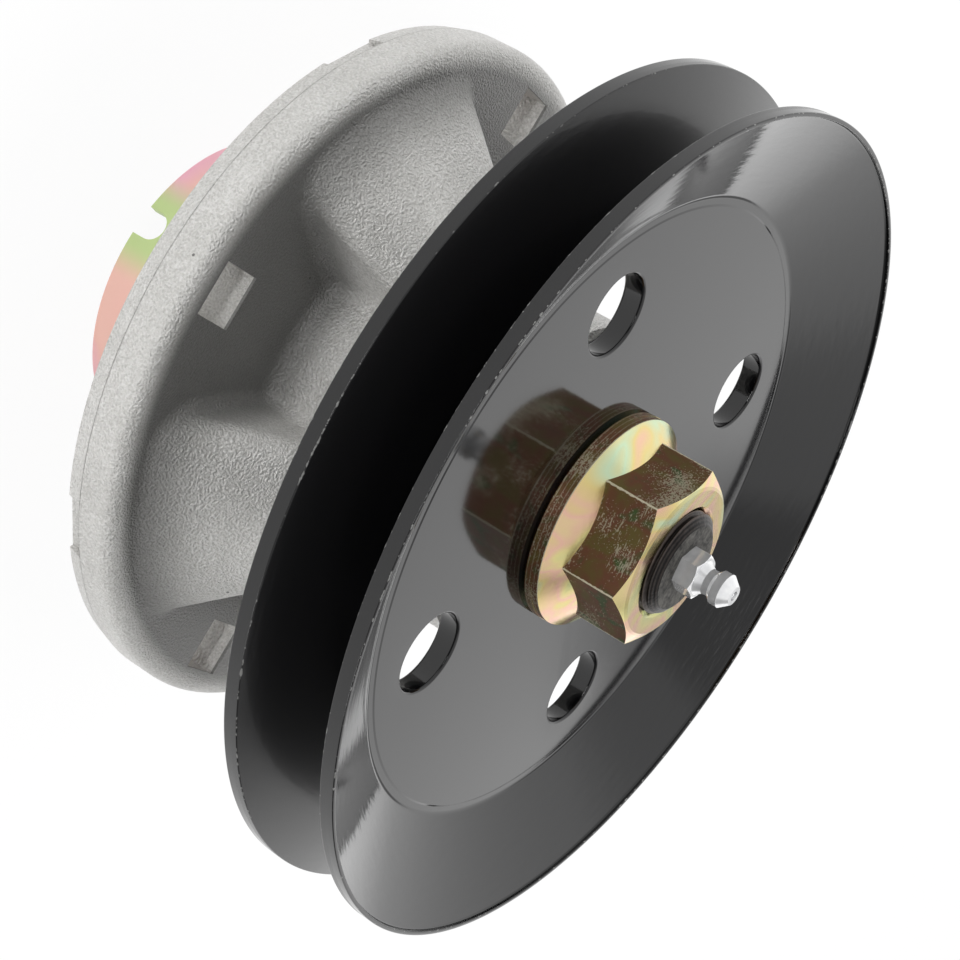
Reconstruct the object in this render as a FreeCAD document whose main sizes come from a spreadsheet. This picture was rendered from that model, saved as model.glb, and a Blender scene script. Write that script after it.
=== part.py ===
import FreeCAD, Part
import math
import os
import Sketcher

# Mower deck spindle with its belt pulley, standing upright.
# Lengths are millimetres and angles are degrees. The spindle turns about the Z axis.
# Height zero is the blade seat, the plane of the shaft's lower end and of the cup's rim.

SIZES = (
    # Shaft
    ("shaft_radius", "12.5"),
    ("boss_radius", "18"),
    ("boss_height", "17.8"),
    ("boss_chamfer", "1"),
    ("flats_half_width", "10.5"),
    ("flats_start_below_pulley", "1.5"),
    ("shaft_step_below_washer", "0.6"),
    ("thread_radius", "9.5"),
    ("thread_end_above_nut", "1.9"),
    ("thread_chamfer", "1.1"),
    ("blade_thread_radius", "7.34"),
    ("blade_thread_depth", "38"),
    ("blade_thread_countersink", "1.2"),
    ("drill_point_angle", "30"),
    ("grease_hole_radius", "1.6"),
    ("grease_port_radius", "1.6"),
    # Cup over the lower bearing
    ("cup_radius", "29"),
    ("cup_sheet", "2"),
    ("cup_bend_radius", "4"),
    ("notch_width", "5.4"),
    ("notch_depth", "5.2"),
    ("notch_turn", "261.2"),
    # Spacers
    ("lower_spacer_length", "6.6"),
    ("spacer_radius", "15.6"),
    ("bearing_spacer_length", "19.8"),
    ("bearing_spacer_radius", "15"),
    ("top_spacer_length", "8.65"),
    ("spacer_chamfer", "0.6"),
    # Bearings
    ("bearing_radius", "26"),
    ("bearing_width", "15"),
    ("bearing_edge", "0.8"),
    ("ball_radius", "3.97"),
    ("ball_clearance", "0.05"),
    ("race_wall", "3.25"),
    ("cage_thickness", "1.6"),
    ("cage_width", "10.2"),
    ("seal_thickness", "0.9"),
    ("seal_inset", "0.5"),
    ("seal_clearance", "0.08"),
    # Retaining rings
    ("ring_thickness", "2"),
    ("ring_groove_depth", "1.4"),
    ("ring_inward_width", "2.4"),
    ("ring_lug_radius", "2.3"),
    ("ring_lug_hole_radius", "1"),
    ("ring_gap_half_angle", "5"),
    ("ring_lug_angle", "11.5"),
    # Housing
    ("ring_land_width", "1.6"),
    ("bearing_stop_width", "2.6"),
    ("pilot_wall", "5"),
    ("pilot_length", "6"),
    ("pilot_chamfer", "1"),
    ("flange_margin_width", "5.7"),
    ("flange_thickness", "10.4"),
    ("rim_draft_width", "0.8"),
    ("parting_line_height", "3.1"),
    ("rim_edge_radius", "2.6"),
    ("neck_wall", "4"),
    ("neck_edge_chamfer", "1"),
    ("lobe_foot_margin_width", "3.9"),
    ("lobe_slope_angle", "44"),
    ("lobe_half_angle", "23.2"),
    ("lobe_draft_angle", "1.8"),
    ("lobe_corner_radius", "6"),
    ("lobe_head_corner_radius", "4.6"),
    ("casting_fillet", "2.8"),
    ("bolt_square", "9.5"),
    ("bolt_circle_past_neck_width", "23.9"),
    ("rim_recess_width", "11.2"),
    ("rim_recess_depth", "0.9"),
    ("core_neck_wall_width", "5.5"),
    ("core_lobe_wall_width", "11.8"),
    ("core_half_angle", "16.5"),
    ("core_depth", "16"),
    ("core_corner_radius", "4"),
    # Pulley
    ("pulley_radius", "76.2"),
    ("pulley_width", "22.1"),
    ("pulley_sheet", "2"),
    ("groove_mouth", "16.8"),
    ("groove_root_radius", "58.6"),
    ("pulley_bend_radius", "4"),
    ("pulley_lip_width", "0.75"),
    ("pulley_lip_bevel", "0.25"),
    ("pulley_hole_radius", "7.1"),
    ("pulley_hole_circle_radius", "42.84"),
    ("pulley_hole_turn", "48.7"),
    ("pulley_hub_clearance", "0.05"),
    # Nut and washer
    ("washer_radius", "19.4"),
    ("washer_thickness", "1.9"),
    ("washer_chamfer", "0.6"),
    ("nut_flange_radius", "19.35"),
    ("nut_flange_edge", "1.35"),
    ("nut_flange_slope", "33"),
    ("nut_across_flats", "28"),
    ("nut_height", "15.2"),
    ("nut_chamfer_angle", "30"),
    ("nut_face_radius", "13.4"),
    ("nut_mouth_countersink", "0.9"),
    ("nut_turn", "9.65"),
    # Grease fitting
    ("fitting_thread_radius", "3.1"),
    ("fitting_thread_length", "5.5"),
    ("fitting_hex_across_flats", "7.1"),
    ("fitting_hex_height", "3.4"),
    ("fitting_turn", "15"),
    ("fitting_neck_radius", "2.3"),
    ("fitting_neck_length", "2.4"),
    ("fitting_head_radius", "3.05"),
    ("fitting_head_band", "1.5"),
    ("fitting_head_height", "3.9"),
    ("fitting_tip_radius", "1.7"),
    ("fitting_mouth_radius", "0.85"),
    ("fitting_mouth_length", "0.5"),
    ("fitting_chamber_radius", "1.35"),
    ("fitting_passage_radius", "0.75"),
    ("check_ball_radius", "1.1"),
    ("check_ball_clearance", "0.05"),
    ("check_spring_wire", "0.3"),
    ("check_spring_radius", "0.95"),
    ("check_spring_length", "5"),
)

LOBES = 4
BOLT_HOLES = 4
PULLEY_HOLES = 4
BALLS = 9
LOBE_TURN = 45
FIRST_BALL_TURN = 90
SPRING_TURNS = 6


class Size:
    """A length or angle that carries its number and the sheet formula that gives it."""

    def __init__(self, number, formula):
        self.number = float(number)
        self.formula = formula

    def joined(self, sign, other, number):
        return Size(number, "({} {} {})".format(self.formula, sign, other.formula))

    def __add__(self, other):
        other = as_size(other)
        return self.joined("+", other, self.number + other.number)

    def __sub__(self, other):
        other = as_size(other)
        return self.joined("-", other, self.number - other.number)

    def __mul__(self, other):
        other = as_size(other)
        return self.joined("*", other, self.number * other.number)

    def __truediv__(self, other):
        other = as_size(other)
        return self.joined("/", other, self.number / other.number)

    def __rsub__(self, other):
        return as_size(other) - self

    def __rmul__(self, other):
        return as_size(other) * self


def as_size(value):
    """A plain number written into a formula as it stands."""
    if isinstance(value, Size):
        return value
    return Size(value, repr(float(value)))


def root(value):
    return Size(math.sqrt(value.number), "sqrt({})".format(value.formula))


def tangent(angle):
    return Size(math.tan(math.radians(angle.number)), "tan({})".format(angle.formula))


def cosine(angle):
    angle = as_size(angle)
    return Size(math.cos(math.radians(angle.number)), "cos({})".format(angle.formula))


def sine(angle):
    angle = as_size(angle)
    return Size(math.sin(math.radians(angle.number)), "sin({})".format(angle.formula))


doc = FreeCAD.newDocument("deck_spindle")
sheet = doc.addObject("Spreadsheet::Sheet", "Sizes")
for row, (alias, number) in enumerate(SIZES, start=1):
    sheet.set("A{}".format(row), alias)
    sheet.set("B{}".format(row), number)
    sheet.setAlias("B{}".format(row), alias)
doc.recompute()

size = {alias: Size(number, "Sizes." + alias) for alias, number in SIZES}
ZERO = as_size(0)

# Radii that follow the shaft and the bearings on it
ball_circle_radius = (size["shaft_radius"] + size["bearing_radius"]) / 2
inner_race_radius = size["shaft_radius"] + size["race_wall"]
outer_race_inside = size["bearing_radius"] - size["race_wall"]
ring_inside_radius = size["bearing_radius"] - size["ring_inward_width"]
cavity_radius = size["bearing_radius"] - size["bearing_stop_width"]
pilot_radius = size["bearing_radius"] + size["pilot_wall"]
neck_radius = size["bearing_radius"] + size["neck_wall"]
bolt_circle_radius = neck_radius + size["bolt_circle_past_neck_width"]

# Stack along the shaft, from the blade seat up to the nut
cup_top = size["boss_height"] + size["cup_sheet"]
lower_bearing_bottom = cup_top + size["lower_spacer_length"]
lower_bearing_top = lower_bearing_bottom + size["bearing_width"]
upper_bearing_bottom = lower_bearing_top + size["bearing_spacer_length"]
upper_bearing_top = upper_bearing_bottom + size["bearing_width"]
pulley_bottom = upper_bearing_top + size["top_spacer_length"]
pulley_middle = pulley_bottom + size["pulley_sheet"]
pulley_top = pulley_middle + size["pulley_sheet"]
nut_seat = pulley_top + size["washer_thickness"]
nut_top = nut_seat + size["nut_height"]
shaft_end = nut_top + size["thread_end_above_nut"]
port_height = lower_bearing_top + size["bearing_spacer_length"] / 2

# Levels of the housing, placed by the bearings, and its radii, placed by the bolt circle
housing_bottom = lower_bearing_bottom - size["ring_thickness"] - size["ring_land_width"]
deck_face = housing_bottom + size["pilot_length"]
flange_floor = deck_face + size["flange_thickness"]
neck_top = upper_bearing_top + size["ring_thickness"] + size["ring_land_width"]
lobe_foot_radius = bolt_circle_radius + size["lobe_foot_margin_width"]
lobe_run = lobe_foot_radius - cavity_radius
lobe_head = flange_floor + lobe_run * tangent(size["lobe_slope_angle"])
flange_radius = lobe_foot_radius + size["flange_margin_width"]
rim_lower_radius = flange_radius - size["rim_draft_width"]
core_inner_radius = neck_radius + size["core_neck_wall_width"]
core_outer_radius = lobe_foot_radius - size["core_lobe_wall_width"]

# Levels of the grease fitting
fitting_bottom = shaft_end - size["fitting_thread_length"]
fitting_hex_top = shaft_end + size["fitting_hex_height"]
fitting_neck_top = fitting_hex_top + size["fitting_neck_length"]
fitting_top = fitting_neck_top + size["fitting_head_height"]
mouth_bottom = fitting_top - size["fitting_mouth_length"]
seat_reach = size["check_ball_radius"] + size["check_ball_clearance"]
seat_drop = root(seat_reach * seat_reach - size["fitting_mouth_radius"] * size["fitting_mouth_radius"])
check_ball_height = mouth_bottom - seat_drop
wire_reach = seat_reach + size["check_spring_wire"] / 2
wire_drop = root(wire_reach * wire_reach - size["check_spring_radius"] * size["check_spring_radius"])
spring_top = check_ball_height - wire_drop + size["check_spring_wire"] / 2
spring_bottom = spring_top - size["check_spring_length"]


def plane(body, role):
    """One of the body's own origin planes or axes."""
    return next(item for item in body.Origin.OriginFeatures if item.Role == role)


def new_body(label, turn=None):
    """An empty body; turn rotates it about the spindle axis."""
    body = doc.addObject("PartDesign::Body", label)
    body.Label = label
    if turn is not None:
        body.Placement = FreeCAD.Placement(
            FreeCAD.Vector(), FreeCAD.Rotation(FreeCAD.Vector(0, 0, 1), turn.number))
        body.setExpression("Placement.Rotation.Angle", turn.formula)
    return body


def new_sketch(body, name, role, height=None, turn=0):
    """A sketch on an origin plane, raised to a height and turned about the spindle axis."""
    sketch = body.newObject("Sketcher::SketchObject", body.Label + "_" + name)
    sketch.AttachmentSupport = (plane(body, role), [""])
    sketch.MapMode = "FlatFace"
    level = 0 if height is None else height.number
    sketch.AttachmentOffset = FreeCAD.Placement(
        FreeCAD.Vector(0, 0, level), FreeCAD.Rotation(FreeCAD.Vector(0, 0, 1), turn))
    if height is not None:
        sketch.setExpression("AttachmentOffset.Base.z", height.formula)
    return sketch


def drive(sketch, kind, *where, value):
    """A dimension of the sketch, bound to its formula."""
    index = sketch.addConstraint(Sketcher.Constraint(kind, *where, value.number))
    sketch.setExpression("Constraints[{}]".format(index), value.formula)


def drive_point(sketch, geometry, corner, across, up):
    """Place a point of the sketch by its distances from the sketch's origin."""
    for kind, value in (("DistanceX", across), ("DistanceY", up)):
        drive(sketch, kind, -1, 1, geometry, corner, value=value)


def outline(sketch, points):
    """A closed outline of straight runs through points given as pairs of sizes."""
    corners = [FreeCAD.Vector(across.number, up.number, 0) for across, up in points]
    count = len(corners)
    for index in range(count):
        sketch.addGeometry(Part.LineSegment(corners[index], corners[(index + 1) % count]), False)
    for index in range(count):
        following = (index + 1) % count
        sketch.addConstraint(Sketcher.Constraint("Coincident", index, 2, following, 1))
    for index, (across, up) in enumerate(points):
        drive_point(sketch, index, 1, across, up)


def circle(sketch, across, up, radius):
    """A circle with its centre placed from the sketch's origin."""
    centre = FreeCAD.Vector(across.number, up.number, 0)
    index = sketch.addGeometry(
        Part.Circle(centre, FreeCAD.Vector(0, 0, 1), radius.number), False)
    drive_point(sketch, index, 3, across, up)
    drive(sketch, "Radius", index, value=radius)


def turn_about_axis(body, kind, name, sketch):
    """Sweep a half section once round the spindle axis, adding or cutting."""
    feature = body.newObject("PartDesign::" + kind, body.Label + "_" + name)
    feature.Profile = sketch
    feature.ReferenceAxis = (sketch, ["V_Axis"])
    feature.Angle = 360
    doc.recompute()
    return feature


def turned(body, name, points):
    """Material from a half section of straight runs."""
    sketch = new_sketch(body, name + "_section", "XZ_Plane")
    outline(sketch, points)
    return turn_about_axis(body, "Revolution", name, sketch)


def grooved(body, name, points):
    """A cut from a half section of straight runs."""
    sketch = new_sketch(body, name + "_section", "XZ_Plane")
    outline(sketch, points)
    return turn_about_axis(body, "Groove", name, sketch)


def pocketed(body, name, sketch, depth=None, upward=False, both_ways=False):
    """A straight cut; with no depth it goes through everything."""
    pocket = body.newObject("PartDesign::Pocket", body.Label + "_" + name)
    pocket.Profile = sketch
    pocket.Reversed = upward
    if both_ways:
        pocket.SideType = "Symmetric"
    if depth is None:
        pocket.Type = "ThroughAll"
    else:
        pocket.Type = "Length"
        pocket.Length = depth.number
        pocket.setExpression("Length", depth.formula)
    doc.recompute()
    return pocket


def repeated(body, feature, sketch, count):
    """The feature repeated evenly round the spindle axis."""
    pattern = body.newObject("PartDesign::PolarPattern", feature.Label + "_repeat")
    pattern.Originals = [feature]
    pattern.Axis = (sketch, ["N_Axis"])
    pattern.Angle = 360
    pattern.Occurrences = count
    body.Tip = pattern
    doc.recompute()
    return pattern


def ring_edges(feature, radius, height):
    """Names of the round edges of a feature at a radius and a height."""
    names = []
    for index, edge in enumerate(feature.Shape.Edges, start=1):
        curve = edge.Curve
        if not isinstance(curve, Part.Circle):
            continue
        at_height = abs(curve.Center.z - height.number) < 0.01
        if at_height and abs(curve.Radius - radius.number) < 0.01:
            names.append("Edge{}".format(index))
    return names


def eased(body, kind, name, feature, edges, amount):
    """A fillet or chamfer on the named edges of a feature."""
    dress = body.newObject("PartDesign::" + kind, body.Label + "_" + name)
    dress.Base = (feature, edges)
    attribute = "Radius" if kind == "Fillet" else "Size"
    setattr(dress, attribute, amount.number)
    dress.setExpression(attribute, amount.formula)
    body.Tip = dress
    doc.recompute()
    return dress


def sector(sketch, inner, outer, half_angle, corner):
    """A ring sector about the sketch's X axis, its two outer corners rounded."""
    reach = outer.number - corner.number
    lean = half_angle.number - math.degrees(math.asin(corner.number / reach))
    along = math.sqrt(reach ** 2 - corner.number ** 2)
    origin = FreeCAD.Vector()
    normal = FreeCAD.Vector(0, 0, 1)

    def polar(radius, angle):
        turn = math.radians(angle)
        return FreeCAD.Vector(radius * math.cos(turn), radius * math.sin(turn), 0)

    def arc(centre, radius, start, end):
        ring = Part.Circle(centre, normal, radius)
        return Part.ArcOfCircle(ring, math.radians(start), math.radians(end))

    edge = half_angle.number
    pieces = [
        arc(origin, outer.number, -lean, lean),
        arc(polar(reach, lean), corner.number, lean, edge + 90),
        Part.LineSegment(polar(along, edge), polar(inner.number, edge)),
        arc(origin, inner.number, -edge, edge),
        Part.LineSegment(polar(inner.number, -edge), polar(along, -edge)),
        arc(polar(reach, -lean), corner.number, -edge - 90, -lean),
    ]
    for piece in pieces:
        sketch.addGeometry(piece, False)
    rules = [
        ("Coincident", 0, 3, -1, 1), ("Coincident", 3, 3, -1, 1),
        ("Tangent", 0, 2, 1, 1), ("Tangent", 1, 2, 2, 1),
        ("Coincident", 2, 2, 3, 2), ("Coincident", 3, 1, 4, 1),
        ("Tangent", 4, 2, 5, 1), ("Tangent", 5, 2, 0, 1),
        ("PointOnObject", -1, 1, 2), ("PointOnObject", -1, 1, 4),
        ("Equal", 1, 5),
    ]
    for rule in rules:
        sketch.addConstraint(Sketcher.Constraint(*rule))
    drive(sketch, "Radius", 0, value=outer)
    drive(sketch, "Radius", 1, value=corner)
    drive_point(sketch, 2, 2, inner * cosine(half_angle), inner * sine(half_angle))
    drive(sketch, "DistanceY", -1, 1, 4, 1, value=ZERO - inner * sine(half_angle))
    doc.recompute()


def double_d(sketch, radius, half_width):
    """A circle about the origin with two opposite flats across the X axis."""
    rise = math.acos(half_width.number / radius.number)
    across = half_width.number
    up = math.sqrt(radius.number ** 2 - across ** 2)
    ring = Part.Circle(FreeCAD.Vector(), FreeCAD.Vector(0, 0, 1), radius.number)
    left = (FreeCAD.Vector(-across, up, 0), FreeCAD.Vector(-across, -up, 0))
    right = (FreeCAD.Vector(across, -up, 0), FreeCAD.Vector(across, up, 0))
    sketch.addGeometry(Part.ArcOfCircle(ring, rise, math.pi - rise), False)
    sketch.addGeometry(Part.LineSegment(*left), False)
    sketch.addGeometry(Part.ArcOfCircle(ring, math.pi + rise, 2 * math.pi - rise), False)
    sketch.addGeometry(Part.LineSegment(*right), False)
    for rule in (("Coincident", 0, 3, -1, 1), ("Coincident", 2, 3, -1, 1),
                 ("Coincident", 0, 2, 1, 1), ("Coincident", 1, 2, 2, 1),
                 ("Coincident", 2, 2, 3, 1), ("Coincident", 3, 2, 0, 1),
                 ("Vertical", 1), ("Vertical", 3)):
        sketch.addConstraint(Sketcher.Constraint(*rule))
    drive(sketch, "Radius", 0, value=radius)
    drive(sketch, "Radius", 2, value=radius)
    drive(sketch, "DistanceX", -1, 1, 1, 1, value=ZERO - half_width)
    drive(sketch, "DistanceX", -1, 1, 3, 1, value=half_width)


def rectangle(sketch, left, right, low, high):
    outline(sketch, [(left, low), (right, low), (right, high), (left, high)])


def bevelled_ring(inside, outside, low, high, bevel, outer_corners=True):
    """Half section of a ring with its outer or its inner corners bevelled."""
    if outer_corners:
        return [(inside, low), (outside - bevel, low), (outside, low + bevel),
                (outside, high - bevel), (outside - bevel, high), (inside, high)]
    return [(inside + bevel, low), (outside, low), (outside, high),
            (inside + bevel, high), (inside, high - bevel), (inside, low + bevel)]


def prism(body, name, across_flats, low, high):
    """A hexagonal bar about the spindle axis."""
    bar = body.newObject("PartDesign::AdditivePrism", body.Label + "_" + name)
    bar.AttachmentSupport = (plane(body, "XY_Plane"), [""])
    bar.MapMode = "FlatFace"
    bar.Polygon = 6
    bar.setExpression("Circumradius", (across_flats / root(as_size(3))).formula)
    bar.setExpression("Height", (high - low).formula)
    bar.AttachmentOffset = FreeCAD.Placement(
        FreeCAD.Vector(0, 0, low.number), FreeCAD.Rotation())
    bar.setExpression("AttachmentOffset.Base.z", low.formula)
    doc.recompute()
    return bar


def crown_hexagon(body, name, across_flats, face_radius, top, angle):
    """Turn the corners of a hexagon down to a round face."""
    beyond = across_flats / root(as_size(3)) + 1
    fall = (beyond - face_radius) * tangent(angle)
    return grooved(body, name, [(face_radius, top), (beyond, top), (beyond, top - fall)])


def make_shaft():
    """Shaft with blade boss, flats for the pulley, threaded end and grease drillings."""
    body = new_body("spindle_shaft")
    boss, core, thread = size["boss_radius"], size["shaft_radius"], size["thread_radius"]
    bevel, lead = size["boss_chamfer"], size["thread_chamfer"]
    flats_start = pulley_bottom - size["flats_start_below_pulley"]
    step = pulley_top - size["shaft_step_below_washer"]
    turned(body, "journal", [
        (ZERO, ZERO), (boss - bevel, ZERO), (boss, bevel), (boss, size["boss_height"]),
        (core, size["boss_height"]), (core, flats_start), (ZERO, flats_start)])

    flats = new_sketch(body, "flats_outline", "XY_Plane", flats_start)
    double_d(flats, core, size["flats_half_width"])
    seat = body.newObject("PartDesign::Pad", "spindle_shaft_pulley_seat")
    seat.Profile = flats
    seat.Length = (step - flats_start).number
    seat.setExpression("Length", (step - flats_start).formula)
    doc.recompute()
    turned(body, "threaded_end", [
        (ZERO, step), (thread, step), (thread, shaft_end - lead),
        (thread - lead, shaft_end), (ZERO, shaft_end)])

    bolt, sink = size["blade_thread_radius"], size["blade_thread_countersink"]
    drilled = size["blade_thread_depth"]
    drill_point = bolt * tangent(size["drill_point_angle"])
    grooved(body, "blade_hole", [
        (ZERO, ZERO), (bolt + sink, ZERO), (bolt, sink), (bolt, drilled),
        (ZERO, drilled + drill_point)])

    fitting, passage = size["fitting_thread_radius"], size["grease_hole_radius"]
    grooved(body, "grease_drilling", [
        (ZERO, port_height), (passage, port_height), (passage, fitting_bottom),
        (fitting, fitting_bottom), (fitting, shaft_end), (ZERO, shaft_end)])
    port = new_sketch(body, "port_outline", "YZ_Plane")
    circle(port, ZERO, port_height, size["grease_port_radius"])
    pocketed(body, "grease_port", port, core + bevel, upward=True)
    return body


def make_bearing_spacer():
    """Tube between the two inner races, with a port for the grease."""
    body = new_body("bearing_spacer")
    inside, outside = size["shaft_radius"], size["bearing_spacer_radius"]
    turned(body, "tube", bevelled_ring(
        inside, outside, lower_bearing_top, upper_bearing_bottom, size["spacer_chamfer"]))
    port = new_sketch(body, "port_outline", "YZ_Plane")
    circle(port, ZERO, port_height, size["grease_port_radius"])
    pocketed(body, "grease_port", port, outside + size["spacer_chamfer"], upward=True)
    return body


def make_collar(label, low, high):
    """Plain spacing collar on the shaft."""
    body = new_body(label)
    turned(body, "turning", bevelled_ring(
        size["shaft_radius"], size["spacer_radius"], low, high, size["spacer_chamfer"]))
    return body


def make_cup():
    """Drawn sheet cup clamped over the boss, open towards the blade, with rim notches."""
    body = new_body("blade_cup", size["notch_turn"])
    core, boss_top = size["shaft_radius"], size["boss_height"]
    outside = size["cup_radius"]
    inside = outside - size["cup_sheet"]
    shell = turned(body, "drawing", [
        (core, boss_top), (inside, boss_top), (inside, ZERO),
        (outside, ZERO), (outside, cup_top), (core, cup_top)])
    inner_bend = size["cup_bend_radius"]
    bent = eased(body, "Fillet", "inner_bend", shell,
                 ring_edges(shell, inside, boss_top), inner_bend)
    eased(body, "Fillet", "outer_bend", bent,
          ring_edges(bent, outside, cup_top), inner_bend + size["cup_sheet"])

    half = size["notch_width"] / 2
    crown = size["notch_depth"] - half
    notch = new_sketch(body, "notch_crown", "YZ_Plane")
    circle(notch, ZERO, crown, half)
    pocketed(body, "notch_crowns", notch, both_ways=True)
    mouth = new_sketch(body, "notch_mouth", "YZ_Plane")
    rectangle(mouth, ZERO - half, half, ZERO - half, crown)
    pocketed(body, "notch_mouths", mouth, both_ways=True)
    return body


def make_race(label, section, middle):
    """A bearing race with the track of the balls rolled into it."""
    body = new_body(label)
    turned(body, "turning", section)
    track = new_sketch(body, "track_section", "XZ_Plane")
    circle(track, ball_circle_radius, middle, size["ball_radius"] + size["ball_clearance"])
    turn_about_axis(body, "Groove", "track", track)
    return body


def make_cage(label, middle):
    """Band between the races with a round pocket for each ball."""
    body = new_body(label)
    centre, half_wall = ball_circle_radius, size["cage_thickness"] / 2
    low, high = middle - size["cage_width"] / 2, middle + size["cage_width"] / 2
    turned(body, "band", [
        (centre - half_wall, low), (centre + half_wall, low),
        (centre + half_wall, high), (centre - half_wall, high)])
    hole = new_sketch(body, "pocket_outline", "XZ_Plane")
    circle(hole, ZERO, middle, size["ball_radius"] + size["ball_clearance"])
    first = pocketed(body, "pocket", hole, size["bearing_radius"])
    axis = new_sketch(body, "pocket_axis", "XY_Plane")
    circle(axis, ZERO, ZERO, half_wall)
    repeated(body, first, axis, BALLS)
    return body


def make_balls(place, middle):
    """The balls of one bearing as a group of separate solids."""
    spheres = []
    for index in range(BALLS):
        sphere = doc.addObject("Part::Sphere", "{}_ball_{}".format(place, index + 1))
        sphere.setExpression("Radius", size["ball_radius"].formula)
        angle = as_size(FIRST_BALL_TURN + index * 360 / BALLS)
        centre = ball_circle_radius
        for axis, value in zip("xyz", (centre * cosine(angle), centre * sine(angle), middle)):
            sphere.setExpression("Placement.Base." + axis, value.formula)
        spheres.append(sphere)
    group = doc.addObject("Part::Compound", place + "_bearing_balls")
    group.Label = place + "_bearing_balls"
    group.Links = spheres
    return group


def make_bearing(place, low, seal_low):
    """Ball bearing in five pieces: two races, cage, balls and the seal on its outer side."""
    high = low + size["bearing_width"]
    middle = low + size["bearing_width"] / 2
    edge = size["bearing_edge"]
    inner = bevelled_ring(size["shaft_radius"], inner_race_radius, low, high, edge, False)
    outer = bevelled_ring(outer_race_inside, size["bearing_radius"], low, high, edge)
    seal = new_body(place + "_bearing_seal")
    lip, rim = inner_race_radius + size["seal_clearance"], outer_race_inside
    seal_high = seal_low + size["seal_thickness"]
    turned(seal, "moulding", [(lip, seal_low), (rim, seal_low), (rim, seal_high), (lip, seal_high)])
    return [
        make_race(place + "_bearing_inner_race", inner, middle),
        make_race(place + "_bearing_outer_race", outer, middle),
        make_cage(place + "_bearing_cage", middle),
        make_balls(place, middle),
        seal,
    ]


def make_retaining_ring(label, low):
    """Spring ring in the housing's groove, open at one place, with two plier lugs."""
    body = new_body(label)
    inside, outside = ring_inside_radius, size["bearing_radius"] + size["ring_groove_depth"]
    thickness = size["ring_thickness"]
    high = low + thickness
    turned(body, "band", [(inside, low), (outside, low), (outside, high), (inside, high)])
    lug_angle = size["ring_lug_angle"]
    places = [(inside * cosine(lug_angle), inside * sine(lug_angle) * side) for side in (1, -1)]
    lugs = new_sketch(body, "lug_outline", "XY_Plane", low)
    holes = new_sketch(body, "lug_hole_outline", "XY_Plane", high)
    for across, up in places:
        circle(lugs, across, up, size["ring_lug_radius"])
        circle(holes, across, up, size["ring_lug_hole_radius"])
    pad = body.newObject("PartDesign::Pad", label + "_lugs")
    pad.Profile = lugs
    pad.Length = thickness.number
    pad.setExpression("Length", thickness.formula)
    doc.recompute()
    gap = new_sketch(body, "gap_outline", "XY_Plane", high)
    reach = outside + thickness
    spread = reach * tangent(size["ring_gap_half_angle"])
    outline(gap, [(ZERO, ZERO), (reach, ZERO - spread), (reach, spread)])
    pocketed(body, "gap", gap)
    pocketed(body, "lug_holes", holes)
    return body


def lobe_section(body, name, height, outer, half_angle, corner):
    sketch = new_sketch(body, name, "XY_Plane", height, LOBE_TURN)
    sector(sketch, cavity_radius / 2, outer, half_angle, corner)
    return sketch


def blend_edges(feature):
    """Edges where the lobes meet the flange's flat floor and the neck."""
    names = []
    for index, edge in enumerate(feature.Shape.Edges, start=1):
        low, high = edge.BoundBox.ZMin, edge.BoundBox.ZMax
        reaches = [math.hypot(corner.X, corner.Y) for corner in edge.Vertexes]
        on_floor = high < flange_floor.number + 0.01 and low > flange_floor.number - 0.01
        inside_foot = max(reaches) < lobe_foot_radius.number + 0.01
        on_neck = max(abs(reach - neck_radius.number) for reach in reaches) < 0.02
        beside_lobe = low > flange_floor.number - 0.01 and high < lobe_head.number
        if (on_floor and inside_foot) or (on_neck and beside_lobe):
            names.append("Edge{}".format(index))
    return names


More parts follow.
